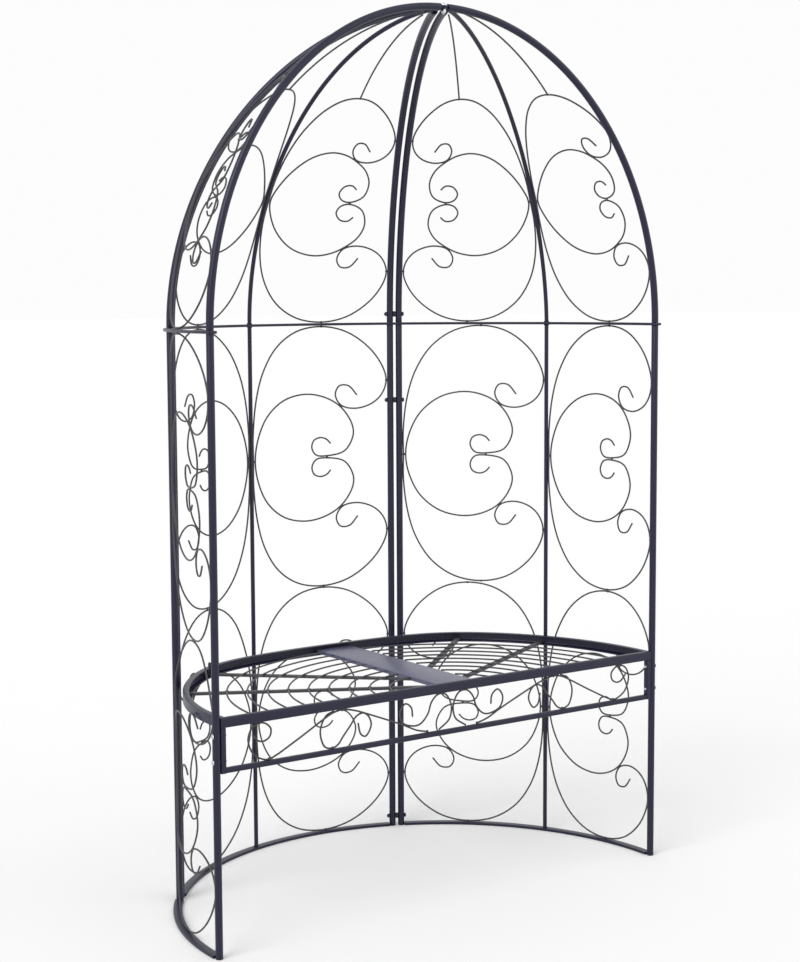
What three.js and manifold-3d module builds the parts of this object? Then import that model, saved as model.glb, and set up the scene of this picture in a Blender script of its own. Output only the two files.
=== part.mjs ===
// Arbour seat: a half-round garden bower of steel tube and wire scrolls under a half dome,
// with a slatted half-round seat across its open front.
// Millimetres, +Z up. X runs along the open front, +Y to the back. Z is 0 on the ground.
// The pieces are laid out about the centre of the post circle.
// Each outline that the photograph gives is a list of shares of the space it fills.
import * as THREE from "three";
import { mergeVertices } from "three/addons/utils/BufferGeometryUtils.js";
import Module from "manifold-3d";

const wasm = await Module();
wasm.setup();

// Driving dimensions: plan
const postCircleRadius = 600;
const panelSpans = { rightFront: 31, rightBack: 37, backRight: 39, backLeft: 39, leftFront: 39 };
const halfTurn = 180;

// Driving dimensions: tubes, rings and wire
const tubeRadius = 8;
const tubeWall = 1.5;
const tubeSides = 8;
const barRadius = 5;
const barSides = 8;
const pairHalfSpacing = 11.2;
const wireRadius = 2;
const wireSides = 4;
const ringWidth = 20;
const ringThickness = 6;
const ringSteps = 8;
const weldGap = 0.3;
const weldBeadRadius = 4.4;

// How far the wires of a section keep to the round plan, from 0 for a flat panel to 1 for the full
// round: away from the rings and at a ring.
const roundBow = { away: 1, atRing: 1 };
const backLeftBow = { away: 0.4, atRing: 0.85 };
const leftFrontBow = { away: 0, atRing: 0.85 };

// Driving dimensions: heights
const midRingTop = 1289;
const tierMeeting = 632;
const domeRise = 683;
const spigotLength = 28;
const spigotRadius = 6.2;
const spigotClearance = 0.3;
const domeSteps = 12;
// How full each dome tube stands: 2 is a quarter ellipse, and less is drawn in towards its chord.
const frontFullness = 2;
const rightBarFullness = 1.69;
const backFullness = 2;
const backBarFullness = 1.94;
const leftBackFullness = 1.92;

// Driving dimensions: apex
const frontTubeEndRadius = 9.6;
const barEndRadius = 30;
const pairTubeEndRadius = 42;
const apexPlateThickness = 2;
const apexDiscRadius = 9;
const apexArmWidth = 12;
const apexDiscSides = 20;
const apexBoltRadius = 2.8;
const apexHoleRadius = 3.1;
const apexHeadRadius = 4.8;
const apexHeadHeight = 6;
const apexHeadSteps = 4;
const apexWasherRadius = 8.6;
const apexWasherHeight = 1.2;
const apexNutRadius = 5.6;
const apexNutHeight = 5;
const apexNutDrop = 4;
const apexBoltTip = 3;
const hexSides = 6;

// Driving dimensions: seat
const seatTop = 504;
const frontBarHeight = 25;
const frontBarDepth = 20;
const rimClearance = 0.3;
const rimHeight = 25;
const rimWeb = 4;
const rimLedge = 16;
const rimLedgeThickness = 4;
const rimLip = 10;
const rimLipThickness = 3;
const rimSteps = 30;
const plateWidth = 100;
const plateCentre = 35;
const plateThickness = 3;
const plateTop = 494;
const fanBarWidth = 13;
const fanBarThickness = 5.5;
const backFanBarStart = 130;
const frontFanBarStart = 30;
const fanBars = [
  { startBehindFront: backFanBarStart, rimAngle: 50 },
  { startBehindFront: frontFanBarStart, rimAngle: 29 },
];
const slatCount = 9;
const slatInnerRadius = 138;
const slatPitch = 45;
const slatStepLength = 80;
const slatLeastSteps = 3;

// Driving dimensions: apron
const stileWidth = 12;
const railTop = 399;
const railHeight = 15;
const railDepth = 15;
const apronWireGap = 0.65;

// Driving dimensions: fasteners
const boltRadius = 3;
const boltHoleClearance = 0.3;
const boltOverhang = 2;
const boltHeadHeight = 4;
const boltHeadRadius = 5.4;
const spacerRadius = 7;
const footBoltLevel = 25;
const middleBoltLevel = 1095;
const domeBoltLevel = 1310;
const pairBoltLevels = [footBoltLevel, middleBoltLevel, domeBoltLevel];
const lowScrewLevel = 413;
const highScrewLevel = 467;
const postScrewLevels = [lowScrewLevel, highScrewLevel];
const screwTip = 2;
const rimScrewAngle = 128;
const rimScrewInset = 9;
const wingHubRadius = 5;
const wingHubHeight = 7;
const wingLoopRadius = 4.6;
const wingLoopWire = 1.4;
const wingLoopOffset = 8.5;
const wingLoopRise = 6.2;
const wingLoopSides = 10;
const wingWireSides = 4;
const roundSides = 8;
const drillSides = 6;

// Upper half of a scroll, mirrored downwards: share across the panel from the post it leans on,
// and share up from the middle of the tier. The outer C ends in a hook.
const outerCShares = [
  [0, 0], [0, 0.2], [0.03, 0.456], [0.09, 0.659], [0.2, 0.842], [0.36, 0.963], [0.55, 1],
  [0.73, 0.957], [0.885, 0.834], [0.975, 0.69], [1, 0.58], [0.97, 0.475], [0.9, 0.402],
  [0.79, 0.367], [0.687, 0.394], [0.647, 0.476], [0.675, 0.543], [0.74, 0.543], [0.8, 0.469],
];
const innerCShares = [
  [0.016, 0], [0.042, 0.162], [0.12, 0.325], [0.26, 0.446], [0.43, 0.487], [0.58, 0.454],
  [0.69, 0.375], [0.763, 0.247], [0.77, 0.156], [0.71, 0.041], [0.583, 0.0085], [0.503, 0.018],
  [0.472, 0.075], [0.488, 0.13], [0.535, 0.15], [0.58, 0.136], [0.61, 0.101],
];
const domeInnerCShares = [
  [0.017, 0], [0.042, 0.095], [0.14, 0.26], [0.29, 0.395], [0.46, 0.45], [0.6, 0.43],
  [0.71, 0.368], [0.79, 0.29], [0.83, 0.18], [0.8, 0.06], [0.7, 0.0085], [0.63, 0.03], [0.605, 0.085],
  [0.64, 0.145], [0.7, 0.155], [0.74, 0.12],
];
const hookWeldShares = [[0.689, 0.385], [0.583, 0], [0.008, 0]];
const domeHookWeldShares = [[0.697, 0.384], [0.7, 0], [0.008, 0]];
const scrollTopShare = 0.55;
const apexWireSteps = 5;
const apexWireEndRadius = 80;
const domeScrollTopAngle = 50.2;

// Right half of the apron: share of the half width from the middle, and share up from the rail.
const apronLongWireShares = [
  [0.888, 0.71], [0.862, 0.53], [0.84, 0.5], [0.815, 0.6], [0.81, 0.8], [0.832, 0.96], [0.858, 1],
  [0.888, 0.9], [0.905, 0.6], [0.886, 0.22], [0.85, 0.04], [0.82, 0], [0.707, 0.36], [0.59, 0.8],
  [0.545, 0.95], [0.502, 1], [0.45, 0.93], [0.35, 0.66], [0.228, 0.3], [0.165, 0.09], [0.115, 0],
];
const apronLoopWireShares = [
  [0.433, 0.57], [0.421, 0.25], [0.399, 0.17], [0.374, 0.45], [0.385, 0.7], [0.41, 0.82],
  [0.44, 0.76], [0.467, 0.53], [0.499, 0.27], [0.522, 0.07], [0.547, 0], [0.579, 0.06],
  [0.596, 0.3], [0.598, 0.58], [0.574, 0.9], [0.538, 1],
];
const apronHeartWireShares = [
  [0.184, 0.48], [0.19, 0.75], [0.218, 0.88], [0.243, 0.65], [0.23, 0.36], [0.176, 0.22],
  [0.145, 0.26], [0.112, 0.5], [0.095, 0.81], [0.065, 1], [0.03, 0.98], [0.007, 0.77],
  [0, 0.516], [0.012, 0.24], [0.061, 0],
];
const apronWeldShare = [0.229, 0.33];

// Derived places
const degrees = Math.PI / halfTurn;
const totalSpan = Object.values(panelSpans).reduce((sum, span) => sum + span, 0);
const rightAngle = (halfTurn - totalSpan) / 2;
const quarterTurn = Math.PI / 2;
const domeScrollTop = domeScrollTopAngle * degrees;
const fullTurn = 2 * Math.PI;
const midRingBottom = midRingTop - ringThickness;
const apexHeight = midRingTop + domeRise;
const wireVertexRadius = wireRadius * Math.sqrt(fullTurn / (wireSides * Math.sin(fullTurn / wireSides)));
const wireTouch = wireVertexRadius + weldGap;
const frontLine = postCircleRadius * Math.sin(rightAngle * degrees);
const frontPostX = postCircleRadius * Math.cos(rightAngle * degrees);
const frontInnerX = frontPostX - tubeRadius;

// The posts in order round the plan. A pair has two tubes, one for each panel that it joins.
const posts = {
  right: { radius: tubeRadius, paired: false, fullness: frontFullness },
  rightBar: { radius: barRadius, paired: false, fullness: rightBarFullness },
  back: { radius: tubeRadius, paired: true, fullness: backFullness },
  backBar: { radius: barRadius, paired: false, fullness: backBarFullness },
  leftBack: { radius: tubeRadius, paired: true, fullness: leftBackFullness },
  left: { radius: tubeRadius, paired: false, fullness: frontFullness },
};
posts.right.angle = rightAngle;
posts.rightBar.angle = posts.right.angle + panelSpans.rightFront;
posts.back.angle = posts.rightBar.angle + panelSpans.rightBack;
posts.backBar.angle = posts.back.angle + panelSpans.backRight;
posts.leftBack.angle = posts.backBar.angle + panelSpans.backLeft;
posts.left.angle = posts.leftBack.angle + panelSpans.leftFront;

// Each scroll section: its posts, the one that the C leans on in the bottom tier, the middle tier
// and the dome, its bow, and whether its two wall tiers are pieces apart or welded where they meet.
const sections = [
  {
    name: "right_front", from: "right", to: "rightBar", bow: roundBow,
    leaning: ["rightBar", "rightBar", "rightBar"],
  },
  {
    name: "right_back", from: "rightBar", to: "back", bow: roundBow, tiersApart: true,
    leaning: ["rightBar", "back", "rightBar"],
  },
  {
    name: "back_right", from: "back", to: "backBar", bow: roundBow,
    leaning: ["backBar", "backBar", "backBar"],
  },
  {
    name: "back_left", from: "backBar", to: "leftBack", bow: backLeftBow, tiersApart: true,
    leaning: ["backBar", "backBar", "backBar"],
  },
  {
    name: "left_front", from: "leftBack", to: "left", bow: leftFrontBow,
    leaning: ["leftBack", "leftBack", "leftBack"],
  },
];

// Colours
const tubePaint = { color: "#33334a", roughness: 0.42, metalness: 0.3 };
const wirePaint = { color: "#3f4046", roughness: 0.5, metalness: 0.3 };
const platePaint = { color: "#7d7e97", roughness: 0.5, metalness: 0.3 };
const zinc = { color: "#c9ccd1", roughness: 0.3, metalness: 0.9 };
const darkSteel = { color: "#2a2a33", roughness: 0.45, metalness: 0.6 };

const seat = new THREE.Group();

/** Adds one piece to the assembly under its own name and material. */
function addPiece(name, geometry, finish) {
  const mesh = new THREE.Mesh(geometry, new THREE.MeshStandardMaterial(finish));
  mesh.name = name;
  seat.add(mesh);
}

/** A closed geometry as a manifold solid. */
function solid(geometry) {
  const bare = geometry.index ? geometry.toNonIndexed() : geometry.clone();
  bare.deleteAttribute("normal");
  bare.deleteAttribute("uv");
  const merged = mergeVertices(bare);
  return new wasm.Manifold(new wasm.Mesh({
    numProp: 3,
    vertProperties: new Float32Array(merged.attributes.position.array),
    triVerts: new Uint32Array(merged.index.array),
  }));
}

/** A manifold solid as a geometry. */
function shell(body) {
  const mesh = body.getMesh();
  const geometry = new THREE.BufferGeometry();
  geometry.setAttribute("position", new THREE.BufferAttribute(new Float32Array(mesh.vertProperties), 3));
  geometry.setIndex(new THREE.BufferAttribute(new Uint32Array(mesh.triVerts), 1));
  geometry.computeVertexNormals();
  return geometry;
}

/** One geometry joined from several that overlap. */
function join(geometries) {
  return shell(geometries.map(solid).reduce((whole, next) => whole.add(next)));
}

/** A geometry less all the cutters. */
function cut(geometry, cutters) {
  return shell(cutters.map(solid).reduce((whole, next) => whole.subtract(next), solid(geometry)));
}

/** A curve through points that steps evenly along its own parameter, so tight curls get short steps. */
class ScrollCurve extends THREE.CatmullRomCurve3 {
  getUtoTmapping(u) {
    return u;
  }
}

/** A curve given by a function of its parameter. */
class FormulaCurve extends THREE.Curve {
  constructor(place) {
    super();
    this.place = place;
  }

  getPoint(t) {
    return this.place(t);
  }

  getUtoTmapping(u) {
    return u;
  }
}

/** The section of a round bar with its vertices on the given radius. */
function roundSection(radius, sides) {
  const corners = Array.from({ length: sides }, (_, i) => {
    const turn = ((i + 0.5) / sides) * fullTurn;
    return new THREE.Vector2(radius * Math.cos(turn), radius * Math.sin(turn));
  });
  return new THREE.Shape(corners);
}

/** A round bar along a curve. */
function sweep(curve, radius, sides, steps) {
  return new THREE.ExtrudeGeometry(roundSection(radius, sides), { steps, extrudePath: curve });
}

/** A scroll wire along a curve. */
function wire(curve, steps) {
  return sweep(curve, wireVertexRadius, wireSides, steps);
}

/** A small ball of weld metal. */
function weldBead(place) {
  return new THREE.OctahedronGeometry(weldBeadRadius, 0).translate(place.x, place.y, place.z);
}

/** A box given by its least and greatest corner. */
function boxBetween(low, high) {
  const size = high.clone().sub(low);
  const centre = high.clone().add(low).multiplyScalar(0.5);
  return new THREE.BoxGeometry(size.x, size.y, size.z).translate(centre.x, centre.y, centre.z);
}

/** An upright round bar between two levels at a place of the plan. */
function uprightBar(plan, radius, sides, low, high) {
  return new THREE.CylinderGeometry(radius, radius, high - low, sides)
    .rotateX(quarterTurn)
    .translate(plan.x, plan.y, (low + high) / 2);
}

/** A turned piece: profile points of radius and length, with the axis laid along a direction. */
function turned(profile, sides, origin, direction) {
  const geometry = new THREE.LatheGeometry(profile.map(([r, l]) => new THREE.Vector2(r, l)), sides);
  const turn = new THREE.Quaternion().setFromUnitVectors(new THREE.Vector3(0, 1, 0), direction);
  return geometry.applyQuaternion(turn).translate(origin.x, origin.y, origin.z);
}

/** A round cutter from one point to another. */
function drill(from, to, radius) {
  const direction = to.clone().sub(from);
  const length = direction.length();
  const corner = radius / Math.cos(Math.PI / drillSides);
  const profile = [[0, 0], [corner, 0], [corner, length], [0, length]];
  return turned(profile, drillSides, from, direction.normalize());
}

/** A flat arc bar seen from above, between two radii and two angles, with end corners squared. */
function arcBar(inner, outer, start, end, bottom, top, steps, holes = []) {
  const outline = [];
  for (let i = 0; i <= steps; i += 1) {
    const turn = start + ((end - start) * i) / steps;
    outline.push(new THREE.Vector2(outer * Math.cos(turn), outer * Math.sin(turn)));
  }
  for (let i = steps; i >= 0; i -= 1) {
    const turn = start + ((end - start) * i) / steps;
    outline.push(new THREE.Vector2(inner * Math.cos(turn), inner * Math.sin(turn)));
  }
  const shape = new THREE.Shape(outline);
  holes.forEach(({ plan, radius }) => {
    const corners = Array.from({ length: tubeSides }, (_, i) => {
      const turn = (i / tubeSides) * fullTurn;
      return new THREE.Vector2(plan.x + radius * Math.cos(turn), plan.y + radius * Math.sin(turn));
    });
    shape.holes.push(new THREE.Path(corners));
  });
  return new THREE.ExtrudeGeometry(shape, { depth: top - bottom, bevelEnabled: false })
    .translate(0, 0, bottom);
}

/** The place of a tube in plan at a reach from the centre: side is -1, 0 or 1 round the plan. */
function tubePlace(post, side, reach) {
  const turn = post.angle * degrees;
  const shift = side * pairHalfSpacing;
  return new THREE.Vector2(
    reach * Math.cos(turn) - shift * Math.sin(turn),
    reach * Math.sin(turn) + shift * Math.cos(turn),
  );
}

/** The angle at which the tubes of a post end on one side, for wire laid at a reach. */
function edgeAngle(post, side, reach) {
  const spread = (post.paired ? pairHalfSpacing : 0) + post.radius + wireTouch;
  return post.angle * degrees + side * Math.asin(spread / reach);
}

/** How far out and how high the dome tube of a post runs at a climb from 0 to a quarter turn. */
function domeTubePlace(post, climb) {
  const up = Math.sin(climb);
  return {
    reach: postCircleRadius * (1 - up ** post.fullness) ** (1 / post.fullness),
    level: midRingTop + domeRise * up,
  };
}

/** The climb at which the dome tube of a post comes in to a reach. */
function climbAt(post, reach) {
  return Math.asin((1 - (reach / postCircleRadius) ** post.fullness) ** (1 / post.fullness));
}

/**
 * A place on a panel: share 0 lies at the post leant on, 1 at the other post. The way is 0 far from
 * the ring that the panel meets, and 1 at it.
 */
function panelPlace(section, leaningPost, share, climb, way) {
  const along = leaningPost === section.from ? share : 1 - share;
  const [from, to] = [[section.from, 1], [section.to, -1]].map(([name, side]) => {
    const { reach, level } = domeTubePlace(posts[name], climb);
    return new THREE.Vector3(reach, edgeAngle(posts[name], side, reach), level);
  });
  const laid = ({ x: reach, y: turn, z: level }) =>
    new THREE.Vector3(reach * Math.cos(turn), reach * Math.sin(turn), level);
  const flat = laid(from).lerp(laid(to), along);
  const { away, atRing } = section.bow;
  return flat.lerp(laid(from.lerp(to, along)), away + (atRing - away) * way * way);
}

/**
 * A place on the wall, whose panels bow out most at the middle ring and from the seat down, and
 * least where the tiers meet.
 */
function wallPlace(section, leaningPost, share, level) {
  const rise = level - tierMeeting;
  const way = rise / ((rise > 0 ? midRingTop : seatTop) - tierMeeting);
  return panelPlace(section, leaningPost, share, 0, Math.min(1, way)).setZ(level);
}

/** A place on the dome, whose panels bow out most at the ring and least from the scroll's top up. */
function domePlace(section, leaningPost, share, climb) {
  return panelPlace(section, leaningPost, share, climb, Math.max(0, 1 - climb / domeScrollTop));
}

/** The whole C from its upper half: hook to hook through the middle. */
function mirroredCurve(shares, place) {
  const upper = shares.map(([across, up]) => place(across, up)).reverse();
  const lower = shares.slice(1).map(([across, up]) => place(across, -up));
  return new ScrollCurve([...upper, ...lower]);
}

/** The wires and beads of one tier: place turns shares across and up into a point. */
function scrollTier(place, innerShares, welds) {
  const pieces = [
    wire(mirroredCurve(outerCShares, place), (outerCShares.length - 1) * 2),
    wire(mirroredCurve(innerShares, place), (innerShares.length - 1) * 2),
  ];
  const marks = welds.flatMap(([across, up]) => (up > 0 ? [[across, up], [across, -up]] : [[across, up]]));
  marks.forEach(([across, up]) => pieces.push(weldBead(place(across, up))));
  return pieces;
}

// Uprights, with spigot bores where they carry a dome tube, and cross holes for bolts.
const tubes = [
  { name: "right", post: posts.right, side: 0, end: frontTubeEndRadius },
  { name: "back_right", post: posts.back, side: -1, end: pairTubeEndRadius },
  { name: "back_left", post: posts.back, side: 1, end: pairTubeEndRadius },
  { name: "left_back_right", post: posts.leftBack, side: -1, end: pairTubeEndRadius },
  { name: "left_back_left", post: posts.leftBack, side: 1, end: pairTubeEndRadius },
  { name: "left", post: posts.left, side: 0, end: frontTubeEndRadius },
];
const thinBars = [
  { name: "right_bar", post: posts.rightBar },
  { name: "back_bar", post: posts.backBar },
];

/** The direction round the plan at a post. */
function tangent(post) {
  return new THREE.Vector3(-Math.sin(post.angle * degrees), Math.cos(post.angle * degrees), 0);
}

/** The point of a plan place at a level. */
function raise(plan, level) {
  return new THREE.Vector3(plan.x, plan.y, level);
}

/** The cross holes of one tube: pair bolts round the plan, or corner screws along X. */
function crossHoles(tube, levels) {
  const plan = tubePlace(tube.post, tube.side, postCircleRadius);
  const direction = tube.post.paired ? tangent(tube.post) : new THREE.Vector3(1, 0, 0);
  const reach = direction.multiplyScalar(tubeRadius * 2);
  return levels.map((level) => {
    const centre = raise(plan, level);
    return drill(centre.clone().sub(reach), centre.clone().add(reach), boltRadius + boltHoleClearance);
  });
}

tubes.forEach((tube) => {
  const plan = tubePlace(tube.post, tube.side, postCircleRadius);
  const bore = tubeRadius - tubeWall;
  const profile = [
    [bore, 0], [tubeRadius, 0], [tubeRadius, midRingBottom], [bore, midRingBottom], [bore, 0],
  ];
  const blank = turned(profile, tubeSides, raise(plan, 0), new THREE.Vector3(0, 0, 1));
  const fixings = tube.post.paired ? pairBoltLevels : postScrewLevels;
  const levels = fixings.filter((level) => level < midRingBottom);
  addPiece(`post_${tube.name}`, cut(blank, crossHoles(tube, levels)), tubePaint);
});

thinBars.forEach(({ name, post }) => {
  const plan = tubePlace(post, 0, postCircleRadius);
  addPiece(`post_${name}`, uprightBar(plan, barRadius, barSides, ringThickness, midRingBottom), tubePaint);
});

// Dome tubes: each climbs in the plane of its post, and plugs into the post.
/** The curve of a dome tube from just over the middle ring to its end near the apex. */
function domeCurve(post, side, endRadius) {
  const startClimb = Math.asin(weldGap / domeRise);
  const topClimb = climbAt(post, endRadius);
  return new FormulaCurve((t) => {
    const { reach, level } = domeTubePlace(post, startClimb + (topClimb - startClimb) * t);
    return raise(tubePlace(post, side, reach), level);
  });
}

tubes.forEach((tube) => {
  const plan = tubePlace(tube.post, tube.side, postCircleRadius);
  const arch = sweep(domeCurve(tube.post, tube.side, tube.end), tubeRadius, tubeSides, domeSteps);
  const spigotTop = midRingTop + tubeRadius;
  const spigot = uprightBar(plan, spigotRadius, tubeSides, midRingBottom - spigotLength, spigotTop);
  const levels = tube.post.paired ? pairBoltLevels.filter((level) => level > midRingTop) : [];
  addPiece(`dome_tube_${tube.name}`, cut(join([arch, spigot]), crossHoles(tube, levels)), tubePaint);
});

thinBars.forEach(({ name, post }) => {
  const arch = sweep(domeCurve(post, 0, barEndRadius), barRadius, barSides, domeSteps);
  addPiece(`dome_${name}`, arch, tubePaint);
});

// Rings: three arcs each. The base arcs butt between the posts, the middle arcs lie over them.
const panels = [
  { name: "right", from: tubes[0], to: tubes[1], bar: thinBars[0] },
  { name: "back", from: tubes[2], to: tubes[3], bar: thinBars[1] },
  { name: "left", from: tubes[4], to: tubes[5], bar: null },
];

panels.forEach(({ name, from, to }) => {
  const inner = postCircleRadius - ringWidth / 2;
  const outer = postCircleRadius + ringWidth / 2;
  const angleOf = (tube, spread) => {
    const shift = (tube.side * pairHalfSpacing + spread) / inner;
    return tube.post.angle * degrees + shift;
  };
  const buttStart = angleOf(from, tubeRadius + weldGap);
  const buttEnd = angleOf(to, -tubeRadius - weldGap);
  const baseArc = arcBar(inner, outer, buttStart, buttEnd, 0, ringThickness, ringSteps);
  addPiece(`base_ring_${name}`, baseArc, tubePaint);
  const overlap = pairHalfSpacing - weldGap;
  const holes = [from, to].map((tube) => ({
    plan: tubePlace(tube.post, tube.side, postCircleRadius),
    radius: spigotRadius + spigotClearance,
  }));
  const lapStart = angleOf(from, -overlap);
  const lapEnd = angleOf(to, overlap);
  const arc = arcBar(inner, outer, lapStart, lapEnd, midRingBottom, midRingTop, ringSteps * 2, holes);
  addPiece(`middle_ring_${name}`, arc, tubePaint);
});

// Wall scrolls: two tiers in each section, joined where they touch. Where the tiers lean on
// different posts, each is a piece of its own.
const wireRise = wireRadius * Math.cos(Math.PI / wireSides);
const wallTierNames = ["bottom", "middle"];

/** The wires of one wall tier: the join is how far the wires stop from the meeting level. */
function wallTier(section, tier, reach) {
  const [low, high] = [
    [ringThickness + wireTouch, tierMeeting - reach],
    [tierMeeting + reach, midRingBottom - wireTouch],
  ][tier];
  const place = (across, up) =>
    wallPlace(section, section.leaning[tier], across, (low + high) / 2 + (up * (high - low)) / 2);
  return scrollTier(place, innerCShares, hookWeldShares);
}

sections.forEach((section) => {
  if (!section.tiersApart) {
    const bead = weldBead(wallPlace(section, section.leaning[0], 0.5, tierMeeting));
    const pieces = wallTierNames.flatMap((_, tier) => wallTier(section, tier, wireRise));
    addPiece(`wall_scroll_${section.name}`, join([...pieces, bead]), wirePaint);
    return;
  }
  wallTierNames.forEach((tierName, tier) => {
    const pieces = wallTier(section, tier, wireVertexRadius + weldGap / 2);
    addPiece(`wall_scroll_${section.name}_${tierName}`, join(pieces), wirePaint);
  });
});

// Dome scrolls, with a wire from the top of each C towards the apex.
const domeScrollStart = Math.asin(wireTouch / domeRise);

sections.forEach((section) => {
  const middle = (domeScrollStart + domeScrollTop) / 2;
  const half = (domeScrollTop - domeScrollStart) / 2;
  const leaningPost = section.leaning[wallTierNames.length];
  const place = (across, up) => domePlace(section, leaningPost, across, middle + up * half);
  const apexWireEnd = Math.acos(apexWireEndRadius / postCircleRadius);
  const apexWire = new FormulaCurve((t) => {
    const climb = domeScrollTop + (apexWireEnd - domeScrollTop) * t;
    return domePlace(section, leaningPost, scrollTopShare, climb);
  });
  const pieces = scrollTier(place, domeInnerCShares, domeHookWeldShares);
  pieces.push(wire(apexWire, apexWireSteps), weldBead(apexWire.getPoint(0)));
  addPiece(`dome_scroll_${section.name}`, join(pieces), wirePaint);
});

// Apex: three plates, one to a panel, stacked on one bolt and notched round the tube ends.
const domeEnds = [
  ...tubes.map(({ post, side, end }) => ({ post, side, end })),
  ...thinBars.map(({ post }) => ({ post, side: 0, end: barEndRadius })),
];
const plateStackBottom = apexHeight - (apexPlateThickness * panels.length) / 2;
const plateStackTop = plateStackBottom + apexPlateThickness * panels.length;
const tubeNotches = domeEnds.map(({ post, side, end }) => {
  const half = post.radius + weldGap;
  const middle = side * pairHalfSpacing;
  const low = new THREE.Vector3(end - weldGap, middle - half, plateStackBottom - half);
  const high = new THREE.Vector3(end + apexArmWidth * 2, middle + half, plateStackTop + half);
  return boxBetween(low, high).rotateZ(post.angle * degrees);
});

/** A plate with a round middle and an arm to the end of each tube of its panel that stops short of it. */
function apexPlate(ends, bottom) {
  const top = bottom + apexPlateThickness;
  const disc = new THREE.CylinderGeometry(apexDiscRadius, apexDiscRadius, apexPlateThickness, apexDiscSides)
    .rotateX(quarterTurn)
    .translate(0, 0, (bottom + top) / 2);
  const half = apexArmWidth / 2;
  const arms = ends.map(({ post, side, end }) => {
    const tip = tubePlace(post, side, end + half);
    return boxBetween(new THREE.Vector3(0, -half, bottom), new THREE.Vector3(tip.length(), half, top))
      .rotateZ(tip.angle());
  });
  const boltHole = drill(
    new THREE.Vector3(0, 0, bottom - half),
    new THREE.Vector3(0, 0, top + half),
    apexHoleRadius,
  );
  return cut(join([disc, ...arms]), [boltHole, ...tubeNotches]);
}

panels.forEach(({ name, from, to, bar }, i) => {
  const ends = domeEnds.filter(({ post, side }) =>
    (bar && post === bar.post) || [from, to].some((tube) => tube.post === post && tube.side === side));
  const reaching = ends.filter(({ end }) => end > frontTubeEndRadius);
  addPiece(`apex_plate_${name}`, apexPlate(reaching, plateStackBottom + i * apexPlateThickness), tubePaint);
});

const boltSeat = plateStackTop + apexWasherHeight;
const boltTip = plateStackBottom - apexNutDrop - apexNutHeight - apexBoltTip;
const domeHead = Array.from({ length: apexHeadSteps }, (_, i) => {
  const turn = (i / apexHeadSteps) * quarterTurn;
  return [apexHeadRadius * Math.cos(turn), boltSeat + apexHeadHeight * Math.sin(turn)];
});
const apexBoltProfile = [
  [0, boltTip], [apexBoltRadius, boltTip], [apexBoltRadius, plateStackTop],
  [apexWasherRadius, plateStackTop], [apexWasherRadius, boltSeat],
  ...domeHead, [0, boltSeat + apexHeadHeight],
];
const upwards = new THREE.Vector3(0, 0, 1);
addPiece("apex_bolt", turned(apexBoltProfile, roundSides, new THREE.Vector3(), upwards), zinc);

const nutShape = new THREE.Shape(roundSection(apexNutRadius, hexSides).getPoints());
nutShape.holes.push(new THREE.Path(roundSection(apexHoleRadius, roundSides).getPoints()));
const nut = new THREE.ExtrudeGeometry(nutShape, { depth: apexNutHeight + apexNutDrop, bevelEnabled: false })
  .translate(0, 0, plateStackBottom - apexNutDrop - apexNutHeight);
addPiece("apex_nut", nut, zinc);

// Seat frame: front bar, curved angle rim, centre plate.
const frontBack = frontLine + frontBarDepth / 2;
const frontFace = frontLine - frontBarDepth / 2;
const frontReach = frontInnerX - weldGap;
addPiece(
  "seat_front_bar",
  boxBetween(
    new THREE.Vector3(-frontReach, frontFace, seatTop - frontBarHeight),
    new THREE.Vector3(frontReach, frontBack, seatTop),
  ),
  tubePaint,
);

const rimOuter = postCircleRadius - tubeRadius - rimClearance;
const rimInner = rimOuter - rimWeb;
const rimBottom = seatTop - rimHeight;
const rimStart = Math.asin((frontBack + weldGap) / rimOuter);
const rimEnd = Math.PI - rimStart;
const ledgeTop = rimBottom + rimLedgeThickness;
const rimScrewReach = rimOuter - rimScrewInset;
const rimScrewFoot = new THREE.Vector3(
  rimScrewReach * Math.cos(rimScrewAngle * degrees),
  rimScrewReach * Math.sin(rimScrewAngle * degrees),
  0,
);

const rimCurve = new FormulaCurve((t) => {
  const turn = rimStart + (rimEnd - rimStart) * t;
  return new THREE.Vector3(rimOuter * Math.cos(turn), rimOuter * Math.sin(turn), rimBottom);
});
// The channel section runs from the rim's outer lower edge: the ledge inwards, then up to the lip.
const rimSection = new THREE.Shape([
  new THREE.Vector2(0, 0),
  new THREE.Vector2(0, rimWeb + rimLedge),
  new THREE.Vector2(-rimLedgeThickness, rimWeb + rimLedge),
  new THREE.Vector2(-rimLedgeThickness, rimWeb),
  new THREE.Vector2(rimLipThickness - rimHeight, rimWeb),
  new THREE.Vector2(rimLipThickness - rimHeight, rimWeb + rimLip),
  new THREE.Vector2(-rimHeight, rimWeb + rimLip),
  new THREE.Vector2(-rimHeight, 0),
]);
const rimBlank = new THREE.ExtrudeGeometry(rimSection, { steps: rimSteps, extrudePath: rimCurve });
const rimHole = drill(
  raise(rimScrewFoot, rimBottom - rimWeb),
  raise(rimScrewFoot, seatTop + rimWeb),
  boltRadius,
);
addPiece("seat_rim", cut(rimBlank, [rimHole]), tubePaint);

// The rim's facets lie a little inside its true arc, so what meets its web stops short of them.
const rimFacetInset = rimOuter * (1 - Math.cos((rimEnd - rimStart) / (2 * rimSteps)));
const webReach = rimInner - rimFacetInset - weldGap;

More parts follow.
